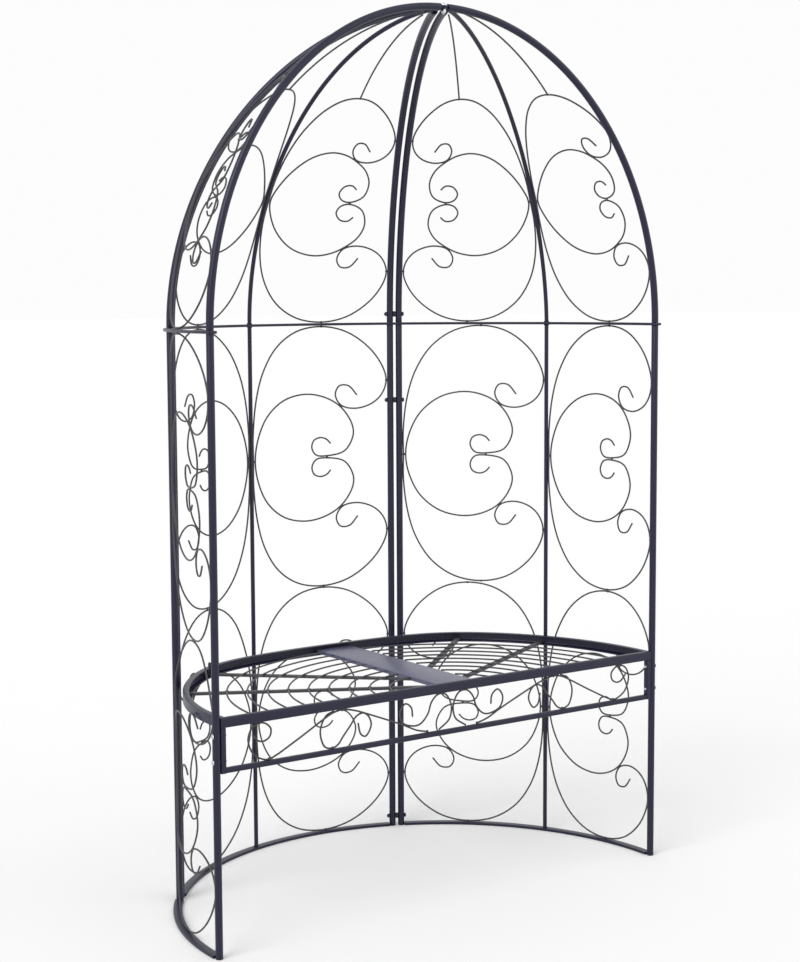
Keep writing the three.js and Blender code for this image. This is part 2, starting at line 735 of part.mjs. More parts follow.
const plateLeft = plateCentre - plateWidth / 2;
const plateRight = plateCentre + plateWidth / 2;
const plateBack = Math.sqrt(webReach * webReach - plateRight * plateRight);
const plateFront = frontBack + weldGap;
const plateTopSheet = boxBetween(
  new THREE.Vector3(plateLeft, plateFront, plateTop - plateThickness),
  new THREE.Vector3(plateRight, plateBack, plateTop),
);
const plateFlanges = [plateLeft, plateRight - plateThickness].map((x) =>
  boxBetween(
    new THREE.Vector3(x, plateFront, ledgeTop),
    new THREE.Vector3(x + plateThickness, plateBack, plateTop - plateThickness / 2),
  ));
addPiece("seat_centre_plate", join([plateTopSheet, ...plateFlanges]), platePaint);

// Seat slats: arcs about the middle of the front, cut off by the centre plate, on two fan bars a side.
const fanBarTop = ledgeTop + fanBarThickness;
const slatLevel = fanBarTop + wireRise;

/** A slat of one side: an arc about the middle of the front between the bar and the plate. */
function slat(radius, sideSign, plateEdge) {
  const start = Math.asin((frontBarDepth / 2 + weldGap + wireRise) / radius);
  const end = Math.acos((sideSign * plateEdge + weldGap + wireRise) / radius);
  const curve = new FormulaCurve((t) => {
    const turn = start + (end - start) * t;
    return new THREE.Vector3(
      sideSign * radius * Math.cos(turn),
      frontLine + radius * Math.sin(turn),
      slatLevel,
    );
  });
  const steps = Math.max(slatLeastSteps, Math.round((radius * (end - start)) / slatStepLength));
  return wire(curve, steps);
}

/** A flat bar under the slats of one side, from the plate out to the rim. */
function fanBar({ startBehindFront, rimAngle }, sideSign, plateEdge) {
  const tip = new THREE.Vector2(
    sideSign * webReach * Math.cos(rimAngle * degrees),
    webReach * Math.sin(rimAngle * degrees),
  );
  const root = new THREE.Vector2(0, frontLine + startBehindFront);
  const along = tip.clone().sub(root).normalize();
  const across = new THREE.Vector2(-along.y, along.x).multiplyScalar(fanBarWidth / 2);
  const startX = plateEdge + sideSign * weldGap;
  const edgePoint = (line) => {
    const travel = (startX - line.x) / along.x;
    return line.clone().add(along.clone().multiplyScalar(travel));
  };
  const left = root.clone().add(across);
  const right = root.clone().sub(across);
  const tipPoint = (line) => {
    const half = line.dot(along);
    const travel = Math.sqrt(half * half - line.lengthSq() + webReach * webReach) - half;
    return line.clone().add(along.clone().multiplyScalar(travel));
  };
  const corners = [edgePoint(left), edgePoint(right), tipPoint(right), tipPoint(left)];
  return new THREE.ExtrudeGeometry(new THREE.Shape(corners), { depth: fanBarThickness, bevelEnabled: false })
    .translate(0, 0, ledgeTop);
}

[["left", -1, plateLeft], ["right", 1, plateRight]].forEach(([name, sideSign, plateEdge]) => {
  const radii = Array.from({ length: slatCount }, (_, i) => slatInnerRadius + i * slatPitch);
  const slats = radii.map((radius) => slat(radius, sideSign, plateEdge));
  const bars = fanBars.map((bar) => fanBar(bar, sideSign, plateEdge));
  addPiece(`seat_slats_${name}`, join([...slats, ...bars]), wirePaint);
});

// Apron: a stile under each end of the front bar, a rail between them and two halves of scroll wire.
const apronTop = seatTop - frontBarHeight;
const stileInnerX = frontReach - stileWidth;
[["left", -1], ["right", 1]].forEach(([name, sideSign]) => {
  const edges = [sideSign * stileInnerX, sideSign * frontReach].sort((a, b) => a - b);
  const stile = boxBetween(
    new THREE.Vector3(edges[0], frontFace, railTop - railHeight),
    new THREE.Vector3(edges[1], frontBack, apronTop),
  );
  const screws = postScrewLevels.map((level) => drill(
    new THREE.Vector3(edges[0] - boltHeadHeight, frontLine, level),
    new THREE.Vector3(edges[1] + boltHeadHeight, frontLine, level),
    boltRadius + boltHoleClearance,
  ));
  addPiece(`apron_stile_${name}`, cut(stile, screws), tubePaint);
});

const railReach = stileInnerX - weldGap;
addPiece(
  "apron_rail",
  boxBetween(
    new THREE.Vector3(-railReach, frontLine - railDepth / 2, railTop - railHeight),
    new THREE.Vector3(railReach, frontLine + railDepth / 2, railTop),
  ),
  tubePaint,
);

[["left", -1], ["right", 1]].forEach(([name, sideSign]) => {
  const low = railTop + wireRise + apronWireGap;
  const high = apronTop - wireRise - apronWireGap;
  const place = ([across, up]) => new THREE.Vector3(
    sideSign * (wireTouch + across * (stileInnerX - wireTouch)),
    frontLine,
    low + up * (high - low),
  );
  const wires = [apronLongWireShares, apronLoopWireShares, apronHeartWireShares].map((shares) =>
    wire(new ScrollCurve(shares.map(place)), shares.length - 1));
  addPiece(`apron_scroll_${name}`, join([...wires, weldBead(place(apronWeldShare))]), wirePaint);
});

// Pair bolts: a bolt through both tubes with a spacer collar in the gap between them.
[["back", posts.back], ["left_back", posts.leftBack]].forEach(([name, post]) => {
  const direction = tangent(post);
  const reach = pairHalfSpacing + tubeRadius + weldGap;
  const collar = pairHalfSpacing - tubeRadius - weldGap;
  const tip = reach + boltHeadHeight + boltOverhang;
  const profile = [
    [0, -reach - boltHeadHeight], [boltHeadRadius, -reach - boltHeadHeight], [boltHeadRadius, -reach],
    [boltRadius, -reach], [boltRadius, -collar], [spacerRadius, -collar], [spacerRadius, collar],
    [boltRadius, collar], [boltRadius, reach], [boltHeadRadius, reach],
    [boltHeadRadius, reach + boltHeadHeight], [boltRadius, reach + boltHeadHeight],
    [boltRadius, tip], [0, tip],
  ];
  pairBoltLevels.forEach((level, i) => {
    const centre = raise(tubePlace(post, 0, postCircleRadius), level);
    addPiece(`pair_bolt_${name}_${i + 1}`, turned(profile, hexSides, centre, direction), darkSteel);
  });
});

// Corner screws: from outside the post through the post and the stile.
[["left", -1], ["right", 1]].forEach(([name, sideSign]) => {
  const direction = new THREE.Vector3(-sideSign, 0, 0);
  const shank = tubeRadius * 2 + weldGap * 2 + stileWidth + screwTip;
  const profile = [
    [0, -boltHeadHeight / 2], [boltHeadRadius, -boltHeadHeight / 2], [boltHeadRadius, 0],
    [boltRadius, 0], [boltRadius, shank], [0, shank],
  ];
  postScrewLevels.forEach((level, i) => {
    const head = new THREE.Vector3(sideSign * (frontPostX + tubeRadius + weldGap), frontLine, level);
    addPiece(`corner_screw_${name}_${i + 1}`, turned(profile, hexSides, head, direction), zinc);
  });
});

// Rim screw: up through the rim's ledge and lip, with a wing nut of two loops on the lip.
const rimScrewHeadTop = rimBottom - weldGap;
const rimScrewHeadLow = rimScrewHeadTop - boltHeadHeight;
const rimScrewShank = boltRadius - weldGap;
const wingHubLow = seatTop + weldGap;
const wingHubTop = wingHubLow + wingHubHeight;
const rimScrewProfile = [
  [0, rimScrewHeadLow], [boltHeadRadius, rimScrewHeadLow], [boltHeadRadius, rimScrewHeadTop],
  [rimScrewShank, rimScrewHeadTop], [rimScrewShank, wingHubLow], [wingHubRadius, wingHubLow],
  [wingHubRadius, wingHubTop], [rimScrewShank, wingHubTop],
  [rimScrewShank, wingHubTop + screwTip], [0, wingHubTop + screwTip],
];
const wingLoops = [-1, 1].map((side) =>
  new THREE.TorusGeometry(wingLoopRadius, wingLoopWire, wingWireSides, wingLoopSides)
    .rotateX(quarterTurn)
    .translate(side * wingLoopOffset, 0, wingHubLow + wingLoopRise)
    .rotateZ(rimScrewAngle * degrees + quarterTurn)
    .translate(rimScrewFoot.x, rimScrewFoot.y, 0));
const rimScrew = turned(rimScrewProfile, hexSides, rimScrewFoot, upwards);
addPiece("rim_wing_screw", join([rimScrew, ...wingLoops]), darkSteel);

// The origin is on the ground under the middle of the whole seat's box.
const wholeBox = new THREE.Box3().setFromObject(seat);
const boxCentre = wholeBox.getCenter(new THREE.Vector3());
seat.position.set(-boxCentre.x, -boxCentre.y, -wholeBox.min.z);

export default seat;
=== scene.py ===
"""Arbour seat: round painted tubes, round wire, rolled flat bars, weld beads and fasteners.
Shapes are worked out in millimetres about the centre of the post circle."""
import math

import bpy
import numpy as np
from mathutils import Matrix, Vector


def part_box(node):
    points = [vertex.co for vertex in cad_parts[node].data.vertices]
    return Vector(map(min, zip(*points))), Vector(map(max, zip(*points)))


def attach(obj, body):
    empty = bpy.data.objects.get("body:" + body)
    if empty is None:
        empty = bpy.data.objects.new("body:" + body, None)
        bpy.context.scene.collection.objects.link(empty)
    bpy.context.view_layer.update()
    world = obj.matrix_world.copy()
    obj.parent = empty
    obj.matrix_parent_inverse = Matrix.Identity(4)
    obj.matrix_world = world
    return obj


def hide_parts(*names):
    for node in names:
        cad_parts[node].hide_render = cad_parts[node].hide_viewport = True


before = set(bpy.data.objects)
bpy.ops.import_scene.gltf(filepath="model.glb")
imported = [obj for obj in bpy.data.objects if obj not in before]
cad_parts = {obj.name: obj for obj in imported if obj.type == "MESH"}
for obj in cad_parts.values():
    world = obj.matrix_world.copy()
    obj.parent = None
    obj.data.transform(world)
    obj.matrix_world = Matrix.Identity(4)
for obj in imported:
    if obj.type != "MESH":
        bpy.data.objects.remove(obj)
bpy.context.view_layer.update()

MM = 0.001

# Plan and sections of the steel, in millimetres
POST_CIRCLE = 600.0
FIRST_POST_ANGLE = -2.5
TUBE_RADIUS = 8.0
BAR_RADIUS = 5.0
PAIR_HALF_SPACING = 11.2
WIRE_RADIUS = 2.0
WIRE_CLEARANCE = 0.5
RING_WIDTH = 20.0
RING_THICKNESS = 6.0
MID_RING_TOP = 1289.0
TIER_MEETING = 632.0
DOME_RISE = 683.0
WELD_GAP = 0.3

# Post name: angle round the plan in degrees, radius of its bar, whether two tubes stand there, and
# how full its dome tube stands, where 2 is a quarter ellipse and less is drawn in to its chord
POSTS = {
    "right": (FIRST_POST_ANGLE, TUBE_RADIUS, False, 2.0),
    "right_bar": (FIRST_POST_ANGLE + 31, BAR_RADIUS, False, 1.69),
    "back": (FIRST_POST_ANGLE + 68, TUBE_RADIUS, True, 2.0),
    "back_bar": (FIRST_POST_ANGLE + 107, BAR_RADIUS, False, 1.94),
    "left_back": (FIRST_POST_ANGLE + 146, TUBE_RADIUS, True, 1.92),
    "left": (FIRST_POST_ANGLE + 185, TUBE_RADIUS, False, 2.0),
}
# How far from the middle the dome tubes and bars end
FRONT_END = 9.6
BAR_END = 30.0
PAIR_END = 42.0
# Tube name: post, side of the pair it stands on, and reach of its dome end from the middle
TUBES = {
    "right": ("right", 0, FRONT_END),
    "back_right": ("back", -1, PAIR_END),
    "back_left": ("back", 1, PAIR_END),
    "left_back_right": ("left_back", -1, PAIR_END),
    "left_back_left": ("left_back", 1, PAIR_END),
    "left": ("left", 0, FRONT_END),
}
# Panel: the tubes at its two ends, and the thin bar between them if it has one
PANELS = {
    "right": ("right", "back_right", "right_bar"),
    "back": ("back_left", "left_back_right", "back_bar"),
    "left": ("left_back_left", "left", None),
}
# Scroll section: the posts at its ends, the post that the C leans on in the bottom tier, the middle
# tier and the dome, and how far it keeps to the round plan away from the rings and at a ring
SECTIONS = {
    "right_front": ("right", "right_bar", ("right_bar", "right_bar", "right_bar"), (1, 1)),
    "right_back": ("right_bar", "back", ("right_bar", "back", "right_bar"), (1, 1)),
    "back_right": ("back", "back_bar", ("back_bar", "back_bar", "back_bar"), (1, 1)),
    "back_left": ("back_bar", "left_back", ("back_bar", "back_bar", "back_bar"), (0.4, 0.85)),
    "left_front": ("left_back", "left", ("left_back", "left_back", "left_back"), (0, 0.85)),
}
# The sections whose two wall tiers are pieces apart; the others' tiers are welded where they meet
TIERS_APART = ("right_back", "back_left")

# Upper half of a scroll: share across the panel from the post it leans on, share up from the middle
OUTER_C = [
    (0, 0), (0, 0.2), (0.03, 0.456), (0.09, 0.659), (0.2, 0.842), (0.36, 0.963), (0.55, 1),
    (0.73, 0.957), (0.885, 0.834), (0.975, 0.69), (1, 0.58), (0.97, 0.475), (0.9, 0.402),
    (0.79, 0.367), (0.687, 0.394), (0.647, 0.476), (0.675, 0.543), (0.74, 0.543), (0.8, 0.469),
]
INNER_C = [
    (0.016, 0), (0.042, 0.162), (0.12, 0.325), (0.26, 0.446), (0.43, 0.487), (0.58, 0.454),
    (0.69, 0.375), (0.763, 0.247), (0.77, 0.156), (0.71, 0.041), (0.583, 0.0085), (0.503, 0.018),
    (0.472, 0.075), (0.488, 0.13), (0.535, 0.15), (0.58, 0.136), (0.61, 0.101),
]
DOME_INNER_C = [
    (0.017, 0), (0.042, 0.095), (0.14, 0.26), (0.29, 0.395), (0.46, 0.45), (0.6, 0.43),
    (0.71, 0.368), (0.79, 0.29), (0.83, 0.18), (0.8, 0.06), (0.7, 0.0085), (0.63, 0.03),
    (0.605, 0.085), (0.64, 0.145), (0.7, 0.155), (0.74, 0.12),
]
# Weld beads of a scroll as shares: where wire meets wire, and where it meets posts and rings
HOOK_WELDS = [(0.689, 0.385), (0.689, -0.385), (0.583, 0), (0.008, 0)]
DOME_HOOK_WELDS = [(0.697, 0.384), (0.697, -0.384), (0.7, 0), (0.008, 0)]
SCROLL_TOP = 0.55
WALL_WELDS = [(1, 0.58), (1, -0.58), (0, 0), (SCROLL_TOP, 1), (SCROLL_TOP, -1)]
# The climb at the top of a dome scroll, and how far from the middle its straight run ends
DOME_SCROLL_TOP_DEGREES = 50.2
APEX_WIRE_END = 80.0

# Right half of the apron: share of the half width from the middle, share up from the rail
APRON_WIRES = [
    [
        (0.888, 0.71), (0.862, 0.53), (0.84, 0.5), (0.815, 0.6), (0.81, 0.8), (0.832, 0.96),
        (0.858, 1), (0.888, 0.9), (0.905, 0.6), (0.886, 0.22), (0.85, 0.04), (0.82, 0),
        (0.707, 0.36), (0.59, 0.8), (0.545, 0.95), (0.502, 1), (0.45, 0.93), (0.35, 0.66),
        (0.228, 0.3), (0.165, 0.09), (0.115, 0),
    ],
    [
        (0.433, 0.57), (0.421, 0.25), (0.399, 0.17), (0.374, 0.45), (0.385, 0.7), (0.41, 0.82),
        (0.44, 0.76), (0.467, 0.53), (0.499, 0.27), (0.522, 0.07), (0.547, 0), (0.579, 0.06),
        (0.596, 0.3), (0.598, 0.58), (0.574, 0.9), (0.538, 1),
    ],
    [
        (0.184, 0.48), (0.19, 0.75), (0.218, 0.88), (0.243, 0.65), (0.23, 0.36), (0.176, 0.22),
        (0.145, 0.26), (0.112, 0.5), (0.095, 0.81), (0.065, 1), (0.03, 0.98), (0.007, 0.77),
        (0, 0.516), (0.012, 0.24), (0.061, 0),
    ],
]
APRON_WELDS = [
    (0.229, 0.33), (0.502, 0.99), (0.82, 0.01), (0.858, 0.99), (0.115, 0.01), (0.547, 0.01),
]

# Seat: bars are breadth and height, corners are the rounding of each corner of a section in turn,
# and the rim's ledge and lip reach in from its web
SEAT_TOP = 504.0
FRONT_BAR = (13.0, 21.0)
RIM_RADIUS = POST_CIRCLE - TUBE_RADIUS - WELD_GAP
RIM_HEIGHT = 22.0
RIM_WEB = 4.0
RIM_LEDGE = 16.0
RIM_LEDGE_THICKNESS = 3.0
RIM_LIP = 10.0
RIM_LIP_THICKNESS = 3.0
RIM_CORNERS = (1.2, 1.8, 1.8, 1.0, 1.0, 2.0, 2.5, 1.2)
RIM_BACK_DEPTH = 522.0
RIM_SQUARENESS = 12
RIM_LEFT_DRAW = 16.0
PLATE_CENTRE = 35.0
PLATE_WIDTH = 100.0
PLATE_THICKNESS = 3.0
PLATE_TOP = 494.0
PLATE_CORNERS = (0.6, 0.6, 1.5, 1.5, 0.6, 0.6, 3.2, 3.2)
FAN_BAR = (13.0, 6.0)
# Each flat bar under the slats: how far behind the front it starts, and the angle in degrees round
# the plan that it runs out to
FAN_BARS = ((130.0, 50.0), (30.0, 29.0))
SLAT_RADII = 138.0 + 45.0 * np.arange(9)

# Apron
STILE_WIDTH = 12.0
RAIL_TOP = 399.0
RAIL = (11.0, 11.0)

# Rounding of the edges of flat bars, and of cut ends
RING_EDGE = 1.5
FRONT_BAR_EDGE = 2.4
FAN_BAR_EDGE = 1.2
APRON_EDGE = 2.0
ARM_EDGE = 0.5
CUT_EASE = 0.8
FOOT_EASE = 0.6
WIRE_EASE = WIRE_RADIUS * 0.7

# Weld beads, and what share of its radius a bead keeps along the direction it is flattened in
BEAD_RADIUS = 3.0
BEAD_SHARE = 0.75
BAR_BEAD_RADIUS = BAR_RADIUS * 1.35
BAR_BEAD_SHARE = 0.4
CROSSING_BEAD_RADIUS = 4.2
CROSSING_BEAD_SHARE = 0.55
CROSSING_SINK = WIRE_RADIUS * 0.6

# Fasteners: a hexagon's faces are chamfered to a share of its width over the flats, and a shank
# overlaps its head and nut
BOLT_RADIUS = 3.0
HEAD_RADIUS = 5.4
HEAD_HEIGHT = 4.0
HEAD_CHAMFER = 0.7
CHAMFER_SHARE = 0.97
OVERLAP = 0.5
BOLT_OVERHANG = 2.0
SPACER_RADIUS = 7.0
SPACER_CHAMFER = 0.8
PAIR_BOLT_LEVELS = (25.0, 1095.0, 1310.0)
SCREW_LEVELS = (413.0, 467.0)
SCREW_TIP = 2.0
THREAD_PITCH = 1.0
THREAD_DEPTH = 0.35

# The screw in the rim: its angle round the plan, its inset from the rim's outer face, and the tops
# of its plain shank and of its thread over the lip. Its nut: radius and rise of the hub, radius and
# wire of each loop, and how far a loop's middle lies out from the screw and up from the lip
RIM_SCREW_DEGREES = 128.0
RIM_SCREW_INSET = 9.0
RIM_SHANK_RISE = 6.0
RIM_THREAD_RISE = 9.0
WING_HUB = ((4.9, 0.0), (5.0, 0.4), (5.0, 3.5), (4.4, 6.2), (3.6, 7.0))
WING_LOOP = (4.6, 1.4)
WING_LOOP_OFFSET = 8.5
WING_LOOP_RISE = 6.2

# Apex: the spacing of the plates, an arm's thickness and breadth, profiles as radius and travel
# along the bolt, radius and height of the acorn and the nut, and the ends of shank and thread
PLATE_STACK = 2.0
APEX_DISC = ((8.7, -0.98), (9.0, -0.7), (9.0, 0.7), (8.7, 0.98))
APEX_ARM = (PLATE_STACK - 0.1, 12.0)
APEX_WASHER = ((8.3, 0), (8.6, 0.3), (8.6, 0.9), (8.3, 1.2))
ACORN = (4.8, 6.0)
APEX_BOLT_RADIUS = 2.8
APEX_SHANK = (-9.0, 8.0)
APEX_THREAD = (-15.0, -8.5)
APEX_NUT = (5.6, 9.0)

# How finely the shapes are drawn
TUBE_SIDES = 32
BAR_SIDES = 24
WIRE_SIDES = 10
LOOP_SIDES = 12
SHANK_SIDES = 20
HEAD_SIDES = 28
APEX_SIDES = 40
HEXAGON_SIDES = 36
BEAD_SIDES = 12
CORNER_STEPS = 3
SPAN_STEPS = 5
STRAIGHT_STEPS = 4
PLATE_STEPS = 6
ARM_STEPS = 3
DOME_STEPS = 72
DOME_RUN_POINTS = 24
RING_STEPS = 64
RIM_STEPS = 96
LOOP_STEPS = 40
SLAT_LEAST_POINTS = 4
SLAT_POINT_RADIUS = 14
FAN_BAR_POINTS = 5
HALVINGS = 24
EASE_DEGREES = (0.0, 30.0, 60.0, 90.0)
SHARP_DEGREES = 35.0
BEAD_DEGREES = np.linspace(8, 172, 8)
SCREW_HEAD_DEGREES = (75, 55, 35, 15, 0)
ACORN_DEGREES = np.arange(0, 90, 12)

# The mix node's two colours among its inputs, and the mixed colour among its outputs
MIX_COLOURS = (6, 7)
MIXED_COLOUR = 2

# Light: the surround's level as light and as the camera sees it, and each lamp's name, strength,
# breadth in degrees and aim
SURROUND_LEVEL = 0.68
SURROUND_SEEN = 0.98
LAMPS = (
    ("key_from_left", 1.62, 40.0, (1.0, 0.35, -0.75)),
    ("fill_from_right", 0.48, 60.0, (-0.8, 0.9, -0.6)),
)
# The floor, in metres: how far it reaches each way, and how far under the base ring it lies
FLOOR_REACH = 90.0
FLOOR_DROP = 0.0003

# The camera: its heading, dip and roll in degrees, its place in metres, the length of its lens and
# the height of its picture in the same units, and its sensor's longer side in millimetres
CAMERA_TURNS = (35.16, 5.83, -0.28)
CAMERA_PLACE = (-2.4033, -3.5269, 1.3616)
LENS_LENGTH = 1839.5
PICTURE_HEIGHT = 962
SENSOR_SIDE = 36.0

RIGHT = np.array([1.0, 0.0, 0.0])
BACK = np.array([0.0, 1.0, 0.0])
UP = np.array([0.0, 0.0, 1.0])
IN_PLAN = np.array([1.0, 1.0, 0.0])

front_x = POST_CIRCLE * math.cos(math.radians(FIRST_POST_ANGLE))
front_y = POST_CIRCLE * math.sin(math.radians(FIRST_POST_ANGLE))
front_reach = front_x - TUBE_RADIUS - WELD_GAP
front_back = front_y + FRONT_BAR[0] / 2
apron_top = SEAT_TOP - FRONT_BAR[1]
stile_inner = front_reach - STILE_WIDTH
rim_bottom = SEAT_TOP - RIM_HEIGHT
ledge_top = rim_bottom + RIM_LEDGE_THICKNESS
web_inset = RIM_WEB + WELD_GAP
web_reach = RIM_RADIUS - web_inset
slat_level = ledge_top + FAN_BAR[1] + WIRE_RADIUS
plate_half = PLATE_WIDTH / 2
apex_level = MID_RING_TOP + DOME_RISE

# The post circle's centre in the part's own frame, from the bolt at the top, which stands on it
apex_low, apex_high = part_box("apex_bolt")
centre_shift = np.array([(apex_low.x + apex_high.x) / 2, (apex_low.y + apex_high.y) / 2, 0.0])


def linear(hex_colour):
    """An sRGB hex colour as linear light with an alpha of 1."""
    parts = np.array([int(hex_colour[i:i + 2], 16) / 255 for i in (1, 3, 5)])
    lit = np.where(parts <= 0.04045, parts / 12.92, ((parts + 0.055) / 1.055) ** 2.4)
    return (*lit, 1.0)


def add_node(tree, kind, links=None, values=None, **settings):
    """Adds one node: settings are its own properties, values fill its sockets, links feed them."""
    made = tree.nodes.new(kind)
    for name, value in settings.items():
        setattr(made, name, value)
    for socket, value in (values or {}).items():
        made.inputs[socket].default_value = value
    for socket, source in (links or {}).items():
        tree.links.new(source, made.inputs[socket])
    return made


def new_material(name):
    """An empty node material and its tree."""
    material = bpy.data.materials.new(name)
    material.use_nodes = True
    material.node_tree.nodes.clear()
    return material, material.node_tree


def finish_material(tree, shader):
    """Joins a shader to the material's output."""
    add_node(tree, "ShaderNodeOutputMaterial", {"Surface": shader.outputs[0]})


def per_metre(size_mm):
    """The scale of a noise pattern whose features are about this many millimetres wide."""
    return 1.0 / (size_mm * MM)


def finished_steel(
    name, colours, cloud_mm, cloud_detail, cloud_roughness, grain_mm, shine, relief, relief_mm,
    values,
):
    """Finished steel: its colour drifts between two in a soft cloud, and a fine grain moves its
    roughness between two levels and gives its surface a relief."""
    material, tree = new_material(name)
    place = add_node(tree, "ShaderNodeTexCoord").outputs["Object"]
    cloud = add_node(
        tree, "ShaderNodeTexNoise", {"Vector": place},
        {"Scale": per_metre(cloud_mm), "Detail": cloud_detail, "Roughness": cloud_roughness},
    )
    tint = add_node(tree, "ShaderNodeMix", {"Factor": cloud.outputs["Fac"]}, data_type="RGBA")
    for socket, colour in zip(MIX_COLOURS, colours):
        tint.inputs[socket].default_value = linear(colour)
    grain = add_node(
        tree, "ShaderNodeTexNoise", {"Vector": place},
        {"Scale": per_metre(grain_mm), "Detail": 2.0, "Roughness": 0.5},
    )
    gloss = add_node(
        tree, "ShaderNodeMapRange", {"Value": grain.outputs["Fac"]},
        {"To Min": shine[0], "To Max": shine[1]},
    )
    bump = add_node(
        tree, "ShaderNodeBump", {"Height": grain.outputs["Fac"]},
        {"Strength": relief, "Distance": relief_mm * MM},
    )
    skin = add_node(
        tree, "ShaderNodeBsdfPrincipled",
        {"Base Color": tint.outputs[MIXED_COLOUR], "Roughness": gloss.outputs["Result"],
         "Normal": bump.outputs["Normal"]},
        values,
    )
    finish_material(tree, skin)
    return material


def powder_coat(name, colours, roughness, peel_mm):
    """Satin powder coat, sprayed dry and baked: an even colour with a faint mottle, a soft shine
    that turns pale at grazing angles, and an orange peel skin."""
    return finished_steel(
        name, colours, cloud_mm=35, cloud_detail=3.0, cloud_roughness=0.6, grain_mm=peel_mm,
        shine=(roughness - 0.07, roughness + 0.09), relief=0.35, relief_mm=0.12,
        values={"IOR": 1.45},
    )


def plated_steel(name, colours, roughness, metallic):
    """Electroplated steel: a thin metal skin, cloudy from the bath, over fine tool marks."""
    return finished_steel(
        name, colours, cloud_mm=4, cloud_detail=4.0, cloud_roughness=0.65, grain_mm=0.8,
        shine=(roughness - 0.08, roughness + 0.12), relief=0.25, relief_mm=0.05,
        values={"Metallic": metallic},
    )


# Powder coat on tube and flat bar: blue-black, satin, with a purple cast where the light falls.
TUBE_PAINT = powder_coat("blue_black_powder_coat", ("#060622", "#101032"), 0.38, 1.6)
# The same coat on thin wire, with its colour painted lighter and greyer to stand in for the light
# that the wire catches on all its sides.
WIRE_COAT_AND_PAINTED_LIGHT = powder_coat("powder_coat_on_wire_with_painted_light", ("#2e2e33", "#3f3f44"), 0.45, 1.6)
# The same coat on the pressed seat plate, smoother, with its colour painted pale to stand in for
# its reflection of the bright surround, seen at a low angle.
PLATE_COAT_AND_PAINTED_REFLECTION = powder_coat("blue_black_powder_coat_on_plate_with_painted_reflection", ("#414259", "#5f607d"), 0.33, 2.2)
# Bright zinc on the bolt at the top and the corner screws: a cool, slightly cloudy mirror.
BRIGHT_ZINC = plated_steel("bright_zinc_plate", ("#b3b6bd", "#d2d4d8"), 0.24, 1.0)
# Black zinc on the wing screw and the bolts of the paired tubes: near black, with a dull shine.
BLACK_ZINC = plated_steel("black_zinc_plate", ("#2b2b35", "#43434f"), 0.38, 0.75)

# Each material with a slot name
FRAME = (TUBE_PAINT, "frame_steel")
WIRE = (WIRE_COAT_AND_PAINTED_LIGHT, "scroll_wire")
PLATE = (PLATE_COAT_AND_PAINTED_REFLECTION, "seat_plate")
DARK = (BLACK_ZINC, "dark_fixings")
BRIGHT = (BRIGHT_ZINC, "bright_fixings")


def unit(vectors):
    """Each vector at length 1."""
    return vectors / np.linalg.norm(vectors, axis=-1, keepdims=True)


def merge(shells):
    """Several shells as one: their vertices one after another, and their faces moved along."""
    vertices, faces, start = [], [], 0
    for points, polygons in shells:
        vertices.append(points)
        faces.extend([[corner + start for corner in polygon] for polygon in polygons])
        start += len(points)
    return np.concatenate(vertices), faces


def grid_shell(rings):
    """A closed solid from rings of points: quads between each ring and the next, and a flat face
    over the first ring and over the last."""
    count, sides = rings.shape[:2]
    ring, side = np.meshgrid(np.arange(count - 1), np.arange(sides), indexing="ij")
    after = (side + 1) % sides
    quads = np.stack(
        [ring * sides + side, ring * sides + after, (ring + 1) * sides + after,
         (ring + 1) * sides + side], -1,
    ).reshape(-1, 4)
    last = (count - 1) * sides
    caps = [list(range(sides - 1, -1, -1)), list(range(last, last + sides))]
    return rings.reshape(-1, 3), quads.tolist() + caps


def rounded(corners, radius):
    """A closed outline with each corner cut back by the radius and bent round as a parabola:
    (1-t)^2 start + 2t(1-t) corner + t^2 end. Corners run anticlockwise."""
    corner = np.array(corners, float)
    radii = np.broadcast_to(np.asarray(radius, float), (len(corner),))[:, None]
    start = corner + radii * unit(np.roll(corner, 1, 0) - corner)
    end = corner + radii * unit(np.roll(corner, -1, 0) - corner)
    t = np.linspace(0, 1, CORNER_STEPS + 1)[None, :, None]
    bend = (1 - t) ** 2 * start[:, None] + 2 * t * (1 - t) * corner[:, None] + t ** 2 * end[:, None]
    return bend.reshape(-1, 2)


def rounded_bar(width, height, radius):
    """The section of a flat or square bar about its own middle, with rounded edges."""
    half_width, half_height = width / 2, height / 2
    return rounded(
        [(half_width, -half_height), (half_width, half_height),
         (-half_width, half_height), (-half_width, -half_height)], radius,
    )


def circle(radius, sides):
    """The section of a round bar."""
    turn = np.arange(sides) * 2 * math.pi / sides
    return radius * np.stack([np.cos(turn), np.sin(turn)], -1)


def carried(path, facing, outline, ease=0.0):
    """A section carried along a path. At each point its first axis is the facing direction made
    square to the path, and its second is the path's direction crossed with the first. With an ease,
    the ends' edges are round: at an angle a round the edge, the section lies ease * (1 - cos a)
    inside the end and is ease * (1 - sin a) smaller all round."""
    path = np.asarray(path, float)
    tangent = unit(np.gradient(path, axis=0))
    facing = np.broadcast_to(np.asarray(facing, float), path.shape)
    first = unit(facing - (facing * tangent).sum(-1, keepdims=True) * tangent)
    second = np.cross(tangent, first)
    scale = np.ones(len(path))
    if ease:
        edge = np.radians(EASE_DEGREES)
        travel = ease * (1 - np.cos(edge))[:, None]
        inset = 1 - ease * (1 - np.sin(edge)) / np.linalg.norm(outline, axis=-1).max()
        count = len(edge)
        start, finish = path[0] + tangent[0] * travel, path[-1] - tangent[-1] * travel[::-1]
        path = np.concatenate([start, path[1:-1], finish])
        first, second = (
            np.concatenate([axis[:1].repeat(count, 0), axis[1:-1], axis[-1:].repeat(count, 0)])
            for axis in (first, second)
        )
        scale = np.concatenate([inset, scale[1:-1], inset[::-1]])
    flat = outline[None] * scale[:, None, None]
    return grid_shell(
        path[:, None] + flat[..., :1] * first[:, None] + flat[..., 1:] * second[:, None]
    )


